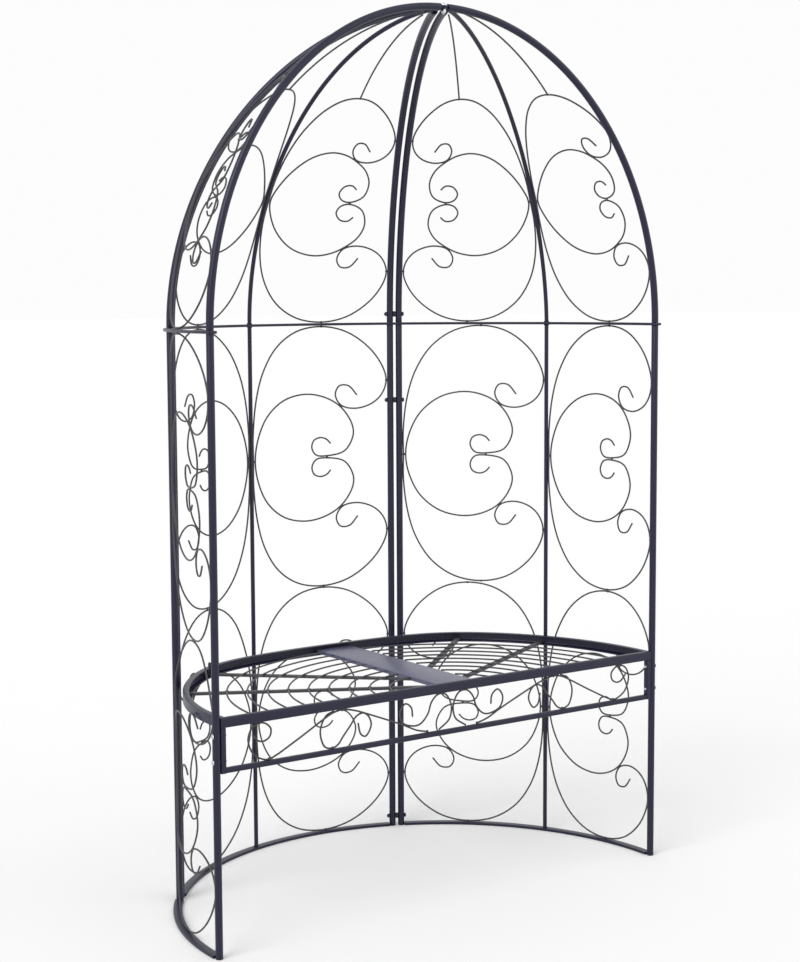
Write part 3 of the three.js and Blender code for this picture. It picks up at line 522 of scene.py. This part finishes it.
def across(direction):
    """Two directions square to an axis and to each other, which with it make a right-handed set."""
    nearly_upright = 0.9
    direction = unit(np.asarray(direction, float))
    helper = UP if abs(direction[2]) < nearly_upright else RIGHT
    first = unit(np.cross(helper, direction))
    return direction, first, np.cross(direction, first)


def turned(profile, sides, origin, direction):
    """A turned piece: each (radius, travel) of the profile is a ring round the axis."""
    axis, first, second = across(direction)
    radius, travel = np.array(profile, float).T
    ring = circle(1.0, sides)
    round_axis = ring[:, :1] * first + ring[:, 1:] * second
    rings = origin + travel[:, None, None] * axis + radius[:, None, None] * round_axis[None]
    return grid_shell(rings)


def hexagon(corner, thickness, origin, direction):
    """A hexagon head or nut, from the radius of its corners. At an angle a its edge is at
    flats / cos(a), with a measured from the nearest flat, but never outside the cone that the
    chamfer cuts at each face."""
    axis, first, second = across(direction)
    flats = corner * math.cos(math.pi / 6)
    angle = np.arange(HEXAGON_SIDES) * 2 * math.pi / HEXAGON_SIDES
    from_flat = (angle + math.pi / 6) % (math.pi / 3) - math.pi / 6
    edge = flats / np.cos(from_flat)
    travel = np.array([0.0, HEAD_CHAMFER, thickness - HEAD_CHAMFER, thickness])
    limit = np.array([flats * CHAMFER_SHARE, corner, corner, flats * CHAMFER_SHARE])
    radius = np.minimum(edge[None], limit[:, None])
    ring = np.cos(angle)[:, None] * first + np.sin(angle)[:, None] * second
    return grid_shell(origin + travel[:, None, None] * axis + radius[..., None] * ring[None])


def thread(radius, start, finish, origin, direction):
    """A threaded length: ridges with crest and root at every half pitch."""
    count = max(2, round((finish - start) / (THREAD_PITCH / 2)))
    travel = np.linspace(start, finish, count + 1)
    profile = [(radius - THREAD_DEPTH * (i % 2), place) for i, place in enumerate(travel)]
    return turned(profile, SHANK_SIDES, origin, direction)


def shank(radius, start, finish, origin, direction):
    """A plain round length of a bolt or screw."""
    return turned([(radius, start), (radius, finish)], SHANK_SIDES, origin, direction)


def bead(centre, radius, flatten, share):
    """A weld bead: a ball of rings at even angles from pole to pole, flattened along one direction
    to a share of its radius."""
    profile = [(radius * math.sin(a), -radius * math.cos(a)) for a in np.radians(BEAD_DEGREES)]
    points, faces = turned(profile, BEAD_SIDES, np.zeros(3), UP)
    flat = unit(np.asarray(flatten, float))
    points = points - (1 - share) * (points @ flat)[:, None] * flat
    return points + centre, faces


def spline(points):
    """The centripetal Catmull-Rom curve through points, with the same number of steps in each span:
    each span is a cubic whose end slopes come from knots spaced by the square root of the
    distance."""
    points = np.asarray(points, float)
    ends = np.stack([2 * points[0] - points[1], 2 * points[-1] - points[-2]])
    full = np.concatenate([ends[:1], points, ends[1:]])
    before, start, finish, after = full[:-3], full[1:-2], full[2:-1], full[3:]
    gap = np.sqrt(np.linalg.norm(np.diff(full, axis=0), axis=1))[:, None]
    first, middle, last = gap[:-2], gap[1:-1], gap[2:]
    leave = (
        (start - before) / first - (finish - before) / (first + middle) + (finish - start) / middle
    ) * middle
    arrive = (
        (finish - start) / middle - (after - start) / (middle + last) + (after - finish) / last
    ) * middle
    t = (np.arange(SPAN_STEPS) / SPAN_STEPS)[None, :, None]
    cubic = (
        start[:, None]
        + leave[:, None] * t
        + (3 * (finish - start) - 2 * leave - arrive)[:, None] * t ** 2
        + (2 * (start - finish) + leave + arrive)[:, None] * t ** 3
    )
    return np.concatenate([cubic.reshape(-1, points.shape[1]), points[-1:]])


def dress(node, shells, material, slot_name):
    """Puts one finished piece, made of closed shells in millimetres about the post circle's centre,
    in the place of a node of the part."""
    points, faces = merge(shells)
    mesh = bpy.data.meshes.new(f"{node}_finished")
    mesh.from_pydata((points * MM + centre_shift).tolist(), [], faces)
    mesh.materials.append(material)
    mesh.polygons.foreach_set("use_smooth", np.ones(len(faces), bool))
    mesh.set_sharp_from_angle(angle=math.radians(SHARP_DEGREES))
    piece = bpy.data.objects.new(f"{node}_finished", mesh)
    bpy.context.scene.collection.objects.link(piece)
    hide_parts(node)
    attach(piece, "root")


def outward_of(post):
    """The direction from the middle to a post."""
    turn = math.radians(POSTS[post][0])
    return np.array([math.cos(turn), math.sin(turn), 0.0])


def sideways_of(post):
    """The direction round the plan at a post."""
    turn = math.radians(POSTS[post][0])
    return np.array([-math.sin(turn), math.cos(turn), 0.0])


def plan_place(post, side, reach):
    """The plan place of a tube at a reach from the middle: reach along the post's direction, and
    half the pair's spacing to one side of it."""
    reach = np.asarray(reach, float)[..., None]
    return reach * outward_of(post)[:2] + side * PAIR_HALF_SPACING * sideways_of(post)[:2]


def edge_angle(post, side, reach):
    """The angle at which wire laid at a reach touches the tubes of a post on one side."""
    angle, radius, paired, _ = POSTS[post]
    spread = (PAIR_HALF_SPACING if paired else 0) + radius + WIRE_RADIUS + WIRE_CLEARANCE
    return math.radians(angle) + side * np.arcsin(spread / reach)


def dome_reach(post, climb):
    """How far out the dome tube of a post runs at an angle of climb a, with a fullness p: the
    circle's radius by (1 - sin(a)^p)^(1/p)."""
    fullness = POSTS[post][3]
    return POST_CIRCLE * (1 - np.sin(climb) ** fullness) ** (1 / fullness)


def climb_at(post, reach):
    """The climb at which the dome tube of a post comes in to a reach: dome_reach turned round."""
    fullness = POSTS[post][3]
    return math.asin((1 - (reach / POST_CIRCLE) ** fullness) ** (1 / fullness))


def dome_path(post, side, end):
    """The middle line of a dome tube, from just over the middle ring to its end."""
    climb = np.linspace(math.asin(WELD_GAP / DOME_RISE), climb_at(post, end), DOME_STEPS + 1)
    plan = plan_place(post, side, dome_reach(post, climb))
    return np.concatenate([plan, (MID_RING_TOP + DOME_RISE * np.sin(climb))[:, None]], 1)


def panel_points(section, leaning, share, climb, way):
    """Plan places on a panel at shares from the post leant on, for a climb and a way to the ring.
    With r and a for the reach and the angle of the panel's edges, and b = away + (at ring - away)
    way^2, the place is the flat panel's by 1 - b, a straight line between the edges, and the round
    panel's by b, where r and a go evenly from edge to edge."""
    start, finish, _, (away, at_ring) = SECTIONS[section]
    along = (share if leaning == start else 1 - share)[..., None]

    def laid(reach, turn):
        return np.stack([reach * np.cos(turn), reach * np.sin(turn)], -1)

    reaches = [dome_reach(post, climb) for post in (start, finish)]
    turns = [edge_angle(start, 1, reaches[0]), edge_angle(finish, -1, reaches[1])]
    low, high = (laid(reach, turn) for reach, turn in zip(reaches, turns))
    flat = low + (high - low) * along
    even = along[..., 0]
    curved = laid(
        reaches[0] + (reaches[1] - reaches[0]) * even, turns[0] + (turns[1] - turns[0]) * even,
    )
    return flat + (curved - flat) * (away + (at_ring - away) * way ** 2)[..., None]


def wall_points(section, leaning, shares, low, high):
    """Shares of a tier as points of the wall, which is roundest at the middle ring and from the
    seat down, and flattest where the tiers meet."""
    share, up = np.array(shares, float).T
    level = (low + high) / 2 + up * (high - low) / 2
    rise = level - TIER_MEETING
    way = np.minimum(1, rise / (np.where(rise > 0, MID_RING_TOP, SEAT_TOP) - TIER_MEETING))
    plan = panel_points(section, leaning, share, np.zeros(len(share)), way)
    return np.concatenate([plan, level[:, None]], 1)


def dome_points(section, leaning, share, climb):
    """Points of the dome at shares across a section and angles of climb, roundest at the ring."""
    way = np.maximum(0, 1 - climb / math.radians(DOME_SCROLL_TOP_DEGREES))
    plan = panel_points(section, leaning, share, climb, way)
    return np.concatenate([plan, (MID_RING_TOP + DOME_RISE * np.sin(climb))[:, None]], 1)


def dome_outward(points):
    """The outward direction of the ellipsoid that the dome follows, at points of the dome."""
    half_axes = np.array([POST_CIRCLE, POST_CIRCLE, DOME_RISE])
    return unit((points - [0.0, 0.0, MID_RING_TOP]) / half_axes ** 2)


def both_halves(shares):
    """A C's whole run of shares, hook to hook, from its upper half."""
    return [*reversed(shares), *((share, -up) for share, up in shares[1:])]


def scroll_shares(shares, width, height):
    """A C as an even curve through its marks, on a panel of this width and height, in shares."""
    size = np.array([width, height / 2])
    return spline(np.array(both_halves(shares)) * size) / size


def round_wire(points, facing):
    """A round wire along a path, with its cut ends rounded off."""
    return carried(points, facing, circle(WIRE_RADIUS, WIRE_SIDES), WIRE_EASE)


def wall_tier(section, tier, join):
    """The wires and weld beads of one tier of a section, whose wires stop a join from where the
    tiers meet."""
    post = SECTIONS[section][2][tier]
    touch = WIRE_RADIUS + WIRE_CLEARANCE
    low, high = [
        (RING_THICKNESS + touch, TIER_MEETING - join),
        (TIER_MEETING + join, MID_RING_TOP - RING_THICKNESS - touch),
    ][tier]
    edges = wall_points(section, post, [(0, 0), (1, 0)], low, high)
    shells = []
    for shares in (OUTER_C, INNER_C):
        run = scroll_shares(shares, math.dist(*edges), high - low)
        points = wall_points(section, post, run, low, high)
        shells.append(round_wire(points, points * IN_PLAN))
    for centre in wall_points(section, post, [*HOOK_WELDS, *WALL_WELDS], low, high):
        shells.append(bead(centre, BEAD_RADIUS, centre * IN_PLAN, BEAD_SHARE))
    return shells


def dome_scroll(section):
    """The wire of one section of the dome, with the straight run from the C's top to the apex."""
    post = SECTIONS[section][2][-1]
    low = math.asin((WIRE_RADIUS + WIRE_CLEARANCE) / DOME_RISE)
    high = math.radians(DOME_SCROLL_TOP_DEGREES)

    def placed(shares):
        share, up = np.array(shares, float).T
        return dome_points(section, post, share, (low + high) / 2 + up * (high - low) / 2)

    edges = placed([(0, 0), (1, 0), (0, -1), (0, 1)])
    paths = [
        placed(scroll_shares(shares, math.dist(*edges[:2]), math.dist(*edges[2:])))
        for shares in (OUTER_C, DOME_INNER_C)
    ]
    climb = np.linspace(high, math.acos(APEX_WIRE_END / POST_CIRCLE), DOME_RUN_POINTS)
    paths.append(dome_points(section, post, np.full(len(climb), SCROLL_TOP), climb))
    shells = [round_wire(points, dome_outward(points)) for points in paths]
    for centre in placed([*DOME_HOOK_WELDS, *WALL_WELDS]):
        shells.append(bead(centre, BEAD_RADIUS, dome_outward(centre), BEAD_SHARE))
    return shells


def arc(radius, start, finish, level, steps):
    """A level arc round the middle of the plan, angles in radians."""
    turn = np.linspace(start, finish, steps + 1)
    return np.stack([radius * np.cos(turn), radius * np.sin(turn), np.full(steps + 1, level)], -1)


def straight(start, finish, steps=STRAIGHT_STEPS):
    """Points on a straight line."""
    return np.linspace(start, finish, steps + 1)


def bar_bead(place):
    """The weld bead at an end of a thin upright bar, flattened along it."""
    return bead(place, BAR_BEAD_RADIUS, UP, BAR_BEAD_SHARE)


def ring_angle(tube, spread):
    """The angle of a tube moved round by a spread, on the ring's inner edge."""
    post, side, _ = TUBES[tube]
    inner = POST_CIRCLE - RING_WIDTH / 2
    return math.radians(POSTS[post][0]) + (side * PAIR_HALF_SPACING + spread) / inner


def ring_bar(start, finish, spread, level, ease=0.0):
    """A ring's flat bar round one panel, each end a spread inside its tube's middle line."""
    path = arc(
        POST_CIRCLE, ring_angle(start, spread), ring_angle(finish, -spread), level, RING_STEPS,
    )
    section = rounded_bar(RING_WIDTH, RING_THICKNESS, RING_EDGE)
    return carried(path, path * IN_PLAN, section, ease)


def rim_depth(depth, inset=0.0):
    """The rim's plan keeps to a circle at the sides and runs nearly straight across the back: a
    depth y on the circle becomes y / (1 + (y / d)^n)^(1 / n), with d the depth of the back."""
    share = depth / (RIM_BACK_DEPTH - inset)
    return depth / (1 + np.abs(share) ** RIM_SQUARENESS) ** (1 / RIM_SQUARENESS)


def left_share(plan):
    """How much of its reach a plan place of the rim keeps: all of it on the right, and on the left
    1 - d * sin(2a)^2 with a its angle round the middle, where the rim lies further in."""
    turn = np.arctan2(plan[..., 1], plan[..., 0])
    draw = RIM_LEFT_DRAW / RIM_RADIUS * np.sin(2 * turn) ** 2
    return np.where(plan[..., 0] < 0, 1 - draw, 1.0)[..., None]


def past_rim(plan, inset):
    """Whether plan points lie outside the rim's plan, brought in by an inset."""
    plan = plan / left_share(plan)
    side = np.minimum(np.abs(plan[..., 0]), RIM_RADIUS - inset)
    return plan[..., 1] > rim_depth(np.sqrt((RIM_RADIUS - inset) ** 2 - side ** 2), inset)


def seat_rim():
    """The rim: a channel round the seat's plan, with a ledge and a lip on its inner side."""
    ledge, lip = -RIM_WEB - RIM_LEDGE, -RIM_WEB - RIM_LIP
    lip_bottom = RIM_HEIGHT - RIM_LIP_THICKNESS
    section = rounded(
        [(ledge, 0), (0, 0), (0, RIM_HEIGHT), (lip, RIM_HEIGHT), (lip, lip_bottom),
         (-RIM_WEB, lip_bottom), (-RIM_WEB, RIM_LEDGE_THICKNESS), (ledge, RIM_LEDGE_THICKNESS)],
        RIM_CORNERS,
    )
    end = math.asin((front_back + WELD_GAP) / RIM_RADIUS)
    path = arc(RIM_RADIUS, math.pi - end, end, rim_bottom, RIM_STEPS)
    path[:, 1] = rim_depth(path[:, 1])
    path[:, :2] *= left_share(path)
    return carried(path, np.cross(UP, unit(np.gradient(path, axis=0))), section)


def centre_plate():
    """The centre plate: sheet folded down along both edges, from the front bar back to the rim."""
    fold = plate_half - PLATE_THICKNESS
    level, high = (ledge_top + PLATE_TOP) / 2, (PLATE_TOP - ledge_top) / 2
    section = rounded(
        [(-plate_half, -high), (-fold, -high), (-fold, high - PLATE_THICKNESS),
         (fold, high - PLATE_THICKNESS), (fold, -high), (plate_half, -high),
         (plate_half, high), (-plate_half, high)],
        PLATE_CORNERS,
    )
    far_edge = PLATE_CENTRE + plate_half
    back = rim_depth(math.sqrt(web_reach ** 2 - far_edge ** 2), web_inset)
    path = straight(
        np.array([PLATE_CENTRE, back, level]),
        np.array([PLATE_CENTRE, front_back + WELD_GAP, level]), PLATE_STEPS,
    )
    return carried(path, RIGHT, section)


def slat(radius, side, edge):
    """A slat: an arc about the middle of the front, from the front bar to the centre plate."""
    touch = WELD_GAP + WIRE_RADIUS
    start = math.asin((FRONT_BAR[0] / 2 + touch) / radius)
    finish = math.acos((side * edge + touch) / radius)
    turn = np.linspace(start, finish, SLAT_LEAST_POINTS + round(radius / SLAT_POINT_RADIUS))
    x, y = side * radius * np.cos(turn), front_y + radius * np.sin(turn)
    return round_wire(np.stack([x, y, np.full(len(turn), slat_level)], -1), UP)


def fan_bar(start_behind, rim_degrees, side, edge):
    """A flat bar under the slats, with a bead at each slat that it carries. Each line of its
    section runs straight from the plate's edge to where it meets the rim's web, found by halving
    the stretch that the crossing lies in."""
    turn = math.radians(rim_degrees)
    tip = web_reach * np.array([side * math.cos(turn), math.sin(turn)])
    from_front = np.array([0.0, start_behind])
    root = np.array([0.0, front_y + start_behind])
    along = unit(tip - root)
    breadth, height = rounded_bar(*FAN_BAR, FAN_BAR_EDGE).T
    lines = root + breadth[:, None] * np.array([-along[1], along[0]])
    near = (edge + side * WELD_GAP - lines[:, 0]) / along[0]
    half = lines @ along
    far = np.sqrt(half ** 2 - (lines ** 2).sum(1) + web_reach ** 2) - half
    inside = near
    for _ in range(HALVINGS):
        middle = (inside + far) / 2
        outside = past_rim(lines + middle[:, None] * along, web_inset)
        inside, far = np.where(outside, inside, middle), np.where(outside, middle, far)
    travel = near + (far - near) * np.linspace(0, 1, FAN_BAR_POINTS)[:, None]
    plan = lines[None] + travel[..., None] * along
    level = np.broadcast_to(ledge_top + FAN_BAR[1] / 2 + height, travel.shape)
    shells = [grid_shell(np.concatenate([plan, level[..., None]], -1))]
    reach = from_front @ along
    for radius in SLAT_RADII:
        step = math.sqrt(reach ** 2 - from_front @ from_front + radius ** 2) - reach
        place = root + step * along
        past_plate = side * (place[0] - edge) > FAN_BAR[0]
        if step > 0 and past_plate and np.hypot(*place) < web_reach - RIM_LEDGE:
            centre = np.array([*place, slat_level - CROSSING_SINK])
            shells.append(bead(centre, CROSSING_BEAD_RADIUS, UP, CROSSING_BEAD_SHARE))
    return shells


def apron_place(shares, side):
    """Shares of one half of the apron as points, on the front bar's middle line."""
    touch = WIRE_RADIUS + WELD_GAP
    share, up = np.array(shares, float).T
    x = side * (touch + share * (stile_inner - touch))
    z = RAIL_TOP + touch + up * (apron_top - RAIL_TOP - 2 * touch)
    return np.stack([x, np.full(len(x), front_y), z], -1)


def pair_bolt(post, level):
    """A bolt through a pair of tubes, with a spacer between them and a nut on the far side."""
    centre, direction = outward_of(post) * POST_CIRCLE + UP * level, sideways_of(post)
    reach = PAIR_HALF_SPACING + TUBE_RADIUS + WELD_GAP
    nut_face = reach + HEAD_HEIGHT
    thread_start = nut_face - OVERLAP
    collar = PAIR_HALF_SPACING - TUBE_RADIUS - WELD_GAP
    rim = SPACER_RADIUS - SPACER_CHAMFER
    spacer = [
        (rim, -collar), (SPACER_RADIUS, SPACER_CHAMFER - collar),
        (SPACER_RADIUS, collar - SPACER_CHAMFER), (rim, collar),
    ]
    return [
        hexagon(HEAD_RADIUS, HEAD_HEIGHT, centre - direction * nut_face, direction),
        hexagon(HEAD_RADIUS, HEAD_HEIGHT, centre + direction * reach, direction),
        shank(BOLT_RADIUS, -reach - 2 * OVERLAP, thread_start, centre, direction),
        thread(BOLT_RADIUS, thread_start, nut_face + BOLT_OVERHANG, centre, direction),
        turned(spacer, HEAD_SIDES, centre, direction),
    ]


def corner_screw(side, level):
    """A screw with a low domed head, inwards through a front post and its stile."""
    head = np.array([side * (front_x + TUBE_RADIUS + WELD_GAP), front_y, level])
    direction = -side * RIGHT
    tip = TUBE_RADIUS * 2 + WELD_GAP * 2 + STILE_WIDTH + SCREW_TIP
    dome = [
        (HEAD_RADIUS * math.cos(a), -HEAD_HEIGHT / 2 * math.sin(a))
        for a in np.radians(SCREW_HEAD_DEGREES)
    ]
    return [
        turned(dome, HEAD_SIDES, head, direction),
        shank(BOLT_RADIUS, -OVERLAP, tip - SCREW_TIP, head, direction),
        thread(BOLT_RADIUS, tip - SCREW_TIP, tip, head, direction),
    ]


def wing_screw():
    """A screw up through the rim's ledge and lip, with a wing nut of two wire loops on the lip."""
    turn = math.radians(RIM_SCREW_DEGREES)
    reach = RIM_RADIUS - RIM_SCREW_INSET
    foot = np.array([
        reach * math.cos(turn), rim_depth(reach * math.sin(turn), RIM_SCREW_INSET), 0.0,
    ])
    foot *= left_share(foot)
    hub_low = SEAT_TOP + WELD_GAP
    head_top = rim_bottom - WELD_GAP
    thread_low = hub_low + RIM_SHANK_RISE
    screw_radius = BOLT_RADIUS - WELD_GAP
    shells = [
        hexagon(HEAD_RADIUS, HEAD_HEIGHT, foot + UP * (head_top - HEAD_HEIGHT), UP),
        shank(screw_radius, head_top - OVERLAP, thread_low, foot, UP),
        thread(screw_radius, thread_low, hub_low + RIM_THREAD_RISE, foot, UP),
        turned([(radius, hub_low + rise) for radius, rise in WING_HUB], HEAD_SIDES, foot, UP),
    ]
    loop_radius, wire = WING_LOOP
    sideways = np.array([-math.sin(turn), math.cos(turn), 0.0])
    round_loop = np.linspace(0, 2 * math.pi, LOOP_STEPS + 1)
    climb = hub_low + WING_LOOP_RISE + loop_radius * np.sin(round_loop)
    for side in (-1, 1):
        run = side * (WING_LOOP_OFFSET - loop_radius * np.cos(round_loop))
        path = foot + run[:, None] * sideways + climb[:, None] * UP
        shells.append(carried(path, np.cross(sideways, UP), circle(wire, LOOP_SIDES)))
    return shells


def apex_plate(start, finish, bar, level):
    """One of the thin plates stacked at the top, with an arm to each tube of its panel that ends
    beyond the disc."""
    shells = [turned(APEX_DISC, APEX_SIDES, UP * level, UP)]
    ends = [TUBES[start], TUBES[finish]]
    if bar:
        ends.append((bar, 0, BAR_END))
    for post, side, end in ends:
        if end > FRONT_END:
            tip = np.array([*plan_place(post, side, end - WELD_GAP), level])
            arm = straight(UP * level, tip, ARM_STEPS)
            shells.append(carried(arm, UP, rounded_bar(*APEX_ARM, ARM_EDGE)))
    return shells


def apex_bolt(stack_top):
    """The bolt at the top: a washer and a bright acorn over the stack, and a thread under it."""
    radius, height = ACORN
    acorn = [(radius * math.cos(a), height * math.sin(a)) for a in np.radians(ACORN_DEGREES)]
    washer_top = APEX_WASHER[-1][1]
    centre = UP * apex_level
    return [
        turned(APEX_WASHER, APEX_SIDES, UP * stack_top, UP),
        turned(acorn, APEX_SIDES, UP * (stack_top + washer_top), UP),
        shank(APEX_BOLT_RADIUS, *APEX_SHANK, centre, UP),
        thread(APEX_BOLT_RADIUS, *APEX_THREAD, centre, UP),
    ]


# Posts: plain round tube up to the middle ring, and over it a dome tube to the top
tube_section = circle(TUBE_RADIUS, TUBE_SIDES)
for name, (post, side, end) in TUBES.items():
    foot = np.array([*plan_place(post, side, POST_CIRCLE), 0.0])
    top = foot + UP * (MID_RING_TOP - RING_THICKNESS)
    column = carried(straight(foot, top), outward_of(post), tube_section, FOOT_EASE)
    dress(f"post_{name}", [column], *FRAME)

    arch = carried(dome_path(post, side, end), sideways_of(post), tube_section, CUT_EASE)
    dress(f"dome_tube_{name}", [arch], *FRAME)

# Thin upright bars and dome bars, welded to the rings
bar_section = circle(BAR_RADIUS, BAR_SIDES)
for name in ("right_bar", "back_bar"):
    foot = np.array([*plan_place(name, 0, POST_CIRCLE), RING_THICKNESS])
    top = foot + UP * (MID_RING_TOP - 2 * RING_THICKNESS)
    column = carried(straight(foot, top), outward_of(name), bar_section)
    dress(f"post_{name}", [column, bar_bead(foot + UP), bar_bead(top - UP)], *FRAME)

    path = dome_path(name, 0, BAR_END)
    arch = carried(path, sideways_of(name), bar_section, CUT_EASE)
    dress(f"dome_{name}", [arch, bar_bead(path[0] + UP)], *FRAME)

# Rings: rolled flat bar. The base arcs butt against the posts, the middle arcs lie over them
for name, (start, finish, _) in PANELS.items():
    base = ring_bar(start, finish, TUBE_RADIUS + WELD_GAP, RING_THICKNESS / 2)
    dress(f"base_ring_{name}", [base], *FRAME)

    level = MID_RING_TOP - RING_THICKNESS / 2
    middle = ring_bar(start, finish, WELD_GAP - PAIR_HALF_SPACING, level, CUT_EASE)
    dress(f"middle_ring_{name}", [middle], *FRAME)

# Scrolls: the two tiers of a section are one piece unless they are made apart
for section in SECTIONS:
    apart = section in TIERS_APART
    join = WIRE_RADIUS + (WELD_GAP if apart else 0.0)
    bottom, middle = (wall_tier(section, tier, join) for tier in (0, 1))
    if apart:
        dress(f"wall_scroll_{section}_bottom", bottom, *WIRE)
        dress(f"wall_scroll_{section}_middle", middle, *WIRE)
    else:
        dress(f"wall_scroll_{section}", bottom + middle, *WIRE)
    dress(f"dome_scroll_{section}", dome_scroll(section), *WIRE)

# Seat: a flat front bar, the curved rim, the centre plate and a field of slats on each side of it
bar_level = SEAT_TOP - FRONT_BAR[1] / 2
bar_ends = [np.array([side * front_reach, front_y, bar_level]) for side in (-1, 1)]
front_bar_section = rounded_bar(*FRONT_BAR, FRONT_BAR_EDGE)
front_bar = carried(straight(*bar_ends), BACK, front_bar_section, CUT_EASE)
dress("seat_front_bar", [front_bar], *FRAME)
dress("seat_rim", [seat_rim()], *FRAME)
dress("seat_centre_plate", [centre_plate()], *PLATE)
for name, side in (("left", -1), ("right", 1)):
    edge = PLATE_CENTRE + side * plate_half
    field = [slat(radius, side, edge) for radius in SLAT_RADII]
    for start_behind, rim_degrees in FAN_BARS:
        field += fan_bar(start_behind, rim_degrees, side, edge)
    dress(f"seat_slats_{name}", field, *WIRE)

# Apron: a stile under each end of the front bar, a rail between them, and two halves of wire
stile_section = rounded_bar(STILE_WIDTH, FRONT_BAR[0], APRON_EDGE)
for name, side in (("left", -1), ("right", 1)):
    foot = np.array([side * (front_reach - STILE_WIDTH / 2), front_y, RAIL_TOP - RAIL[1]])
    top = foot * IN_PLAN + UP * apron_top
    stile = carried(straight(foot, top, steps=1), RIGHT, stile_section, CUT_EASE)
    dress(f"apron_stile_{name}", [stile], *FRAME)

    scroll = [round_wire(spline(apron_place(shares, side)), -BACK) for shares in APRON_WIRES]
    scroll += [
        bead(centre, BEAD_RADIUS, BACK, BEAD_SHARE) for centre in apron_place(APRON_WELDS, side)
    ]
    dress(f"apron_scroll_{name}", scroll, *WIRE)

rail_reach, rail_level = stile_inner - WELD_GAP, RAIL_TOP - RAIL[1] / 2
rail_ends = [np.array([side * rail_reach, front_y, rail_level]) for side in (-1, 1)]
rail = carried(straight(*rail_ends), BACK, rounded_bar(*RAIL, APRON_EDGE))
dress("apron_rail", [rail], *FRAME)

# Fasteners
for name in ("back", "left_back"):
    for i, level in enumerate(PAIR_BOLT_LEVELS):
        dress(f"pair_bolt_{name}_{i + 1}", pair_bolt(name, level), *DARK)
for name, side in (("left", -1), ("right", 1)):
    for i, level in enumerate(SCREW_LEVELS):
        dress(f"corner_screw_{name}_{i + 1}", corner_screw(side, level), *BRIGHT)
dress("rim_wing_screw", wing_screw(), *DARK)

# Apex: three thin plates stacked on one bolt, and its nut under them
for i, (name, (start, finish, bar)) in enumerate(PANELS.items()):
    level = apex_level + (i - 1) * PLATE_STACK
    dress(f"apex_plate_{name}", apex_plate(start, finish, bar, level), *FRAME)
half_stack = 1.5 * PLATE_STACK
dress("apex_bolt", apex_bolt(apex_level + half_stack), *BRIGHT)
nut_radius, nut_height = APEX_NUT
nut = hexagon(nut_radius, nut_height, UP * (apex_level - half_stack - nut_height), UP)
dress("apex_nut", [nut], *BRIGHT)


def stage_floor():
    """A wide level floor, white to the camera and matt, so that it keeps the seat's soft shadow."""
    material, tree = new_material("matt_white_studio_floor")
    matt = add_node(
        tree, "ShaderNodeBsdfPrincipled",
        values={"Base Color": linear("#fafafa"), "Roughness": 0.9},
    )
    matt.inputs["Specular IOR Level"].default_value = 0.0
    finish_material(tree, matt)
    mesh = bpy.data.meshes.new("studio_floor")
    signs = ((-1, -1), (1, -1), (1, 1), (-1, 1))
    corners = [(x * FLOOR_REACH, y * FLOOR_REACH, -FLOOR_DROP) for x, y in signs]
    mesh.from_pydata(corners, [], [(0, 1, 2, 3)])
    mesh.materials.append(material)
    floor = bpy.data.objects.new("studio_floor", mesh)
    bpy.context.scene.collection.objects.link(floor)


def studio_light():
    """A plain grey surround that shows as near white to the camera, to gloss and through glass, and
    two broad soft lamps: a key from the left and a weak fill from the right."""
    world = bpy.data.worlds.new("studio")
    bpy.context.scene.world = world
    world.use_nodes = True
    tree = world.node_tree
    tree.nodes.clear()
    rays = add_node(tree, "ShaderNodeLightPath")
    seen = add_node(
        tree, "ShaderNodeMath",
        {0: rays.outputs["Is Camera Ray"], 1: rays.outputs["Is Transmission Ray"]},
        operation="MAXIMUM",
    )
    seen = add_node(
        tree, "ShaderNodeMath", {0: seen.outputs[0], 1: rays.outputs["Is Glossy Ray"]},
        operation="MAXIMUM",
    )
    level = add_node(
        tree, "ShaderNodeMapRange", {"Value": seen.outputs[0]},
        {"To Min": SURROUND_LEVEL, "To Max": SURROUND_SEEN},
    )
    surround = add_node(
        tree, "ShaderNodeBackground", {"Strength": level.outputs["Result"]},
        {"Color": (1, 1, 1, 1)},
    )
    add_node(tree, "ShaderNodeOutputWorld", {"Surface": surround.outputs[0]})
    for name, strength, breadth, aim in LAMPS:
        lamp = bpy.data.lights.new(name, "SUN")
        lamp.energy = strength
        lamp.angle = math.radians(breadth)
        holder = bpy.data.objects.new(name, lamp)
        bpy.context.scene.collection.objects.link(holder)
        back = -unit(np.array(aim, float))
        _, first, second = across(back)
        holder.matrix_world = Matrix(np.stack([first, second, back], 1).tolist()).to_4x4()


def photo_camera():
    """A camera at the photograph's angle: heading and dip of its view, its roll and its place."""
    heading, dip, roll = (math.radians(angle) for angle in CAMERA_TURNS)
    ahead = np.array([
        math.sin(heading) * math.cos(dip), math.cos(heading) * math.cos(dip), -math.sin(dip),
    ])
    level_right = np.array([math.cos(heading), -math.sin(heading), 0.0])
    level_up = np.cross(level_right, ahead)
    right = math.cos(roll) * level_right + math.sin(roll) * level_up
    up = math.cos(roll) * level_up - math.sin(roll) * level_right
    camera = bpy.data.objects.new("photo_camera", bpy.data.cameras.new("photo_camera"))
    camera.data.sensor_width = SENSOR_SIDE
    camera.data.lens = LENS_LENGTH * SENSOR_SIDE / PICTURE_HEIGHT
    turn = Matrix(np.stack([right, up, -ahead], 1).tolist()).to_4x4()
    camera.matrix_world = Matrix.Translation(CAMERA_PLACE) @ turn
    bpy.context.scene.collection.objects.link(camera)
    bpy.context.scene.camera = camera


stage_floor()
studio_light()
photo_camera()
bpy.context.scene.view_settings.view_transform = "Standard"
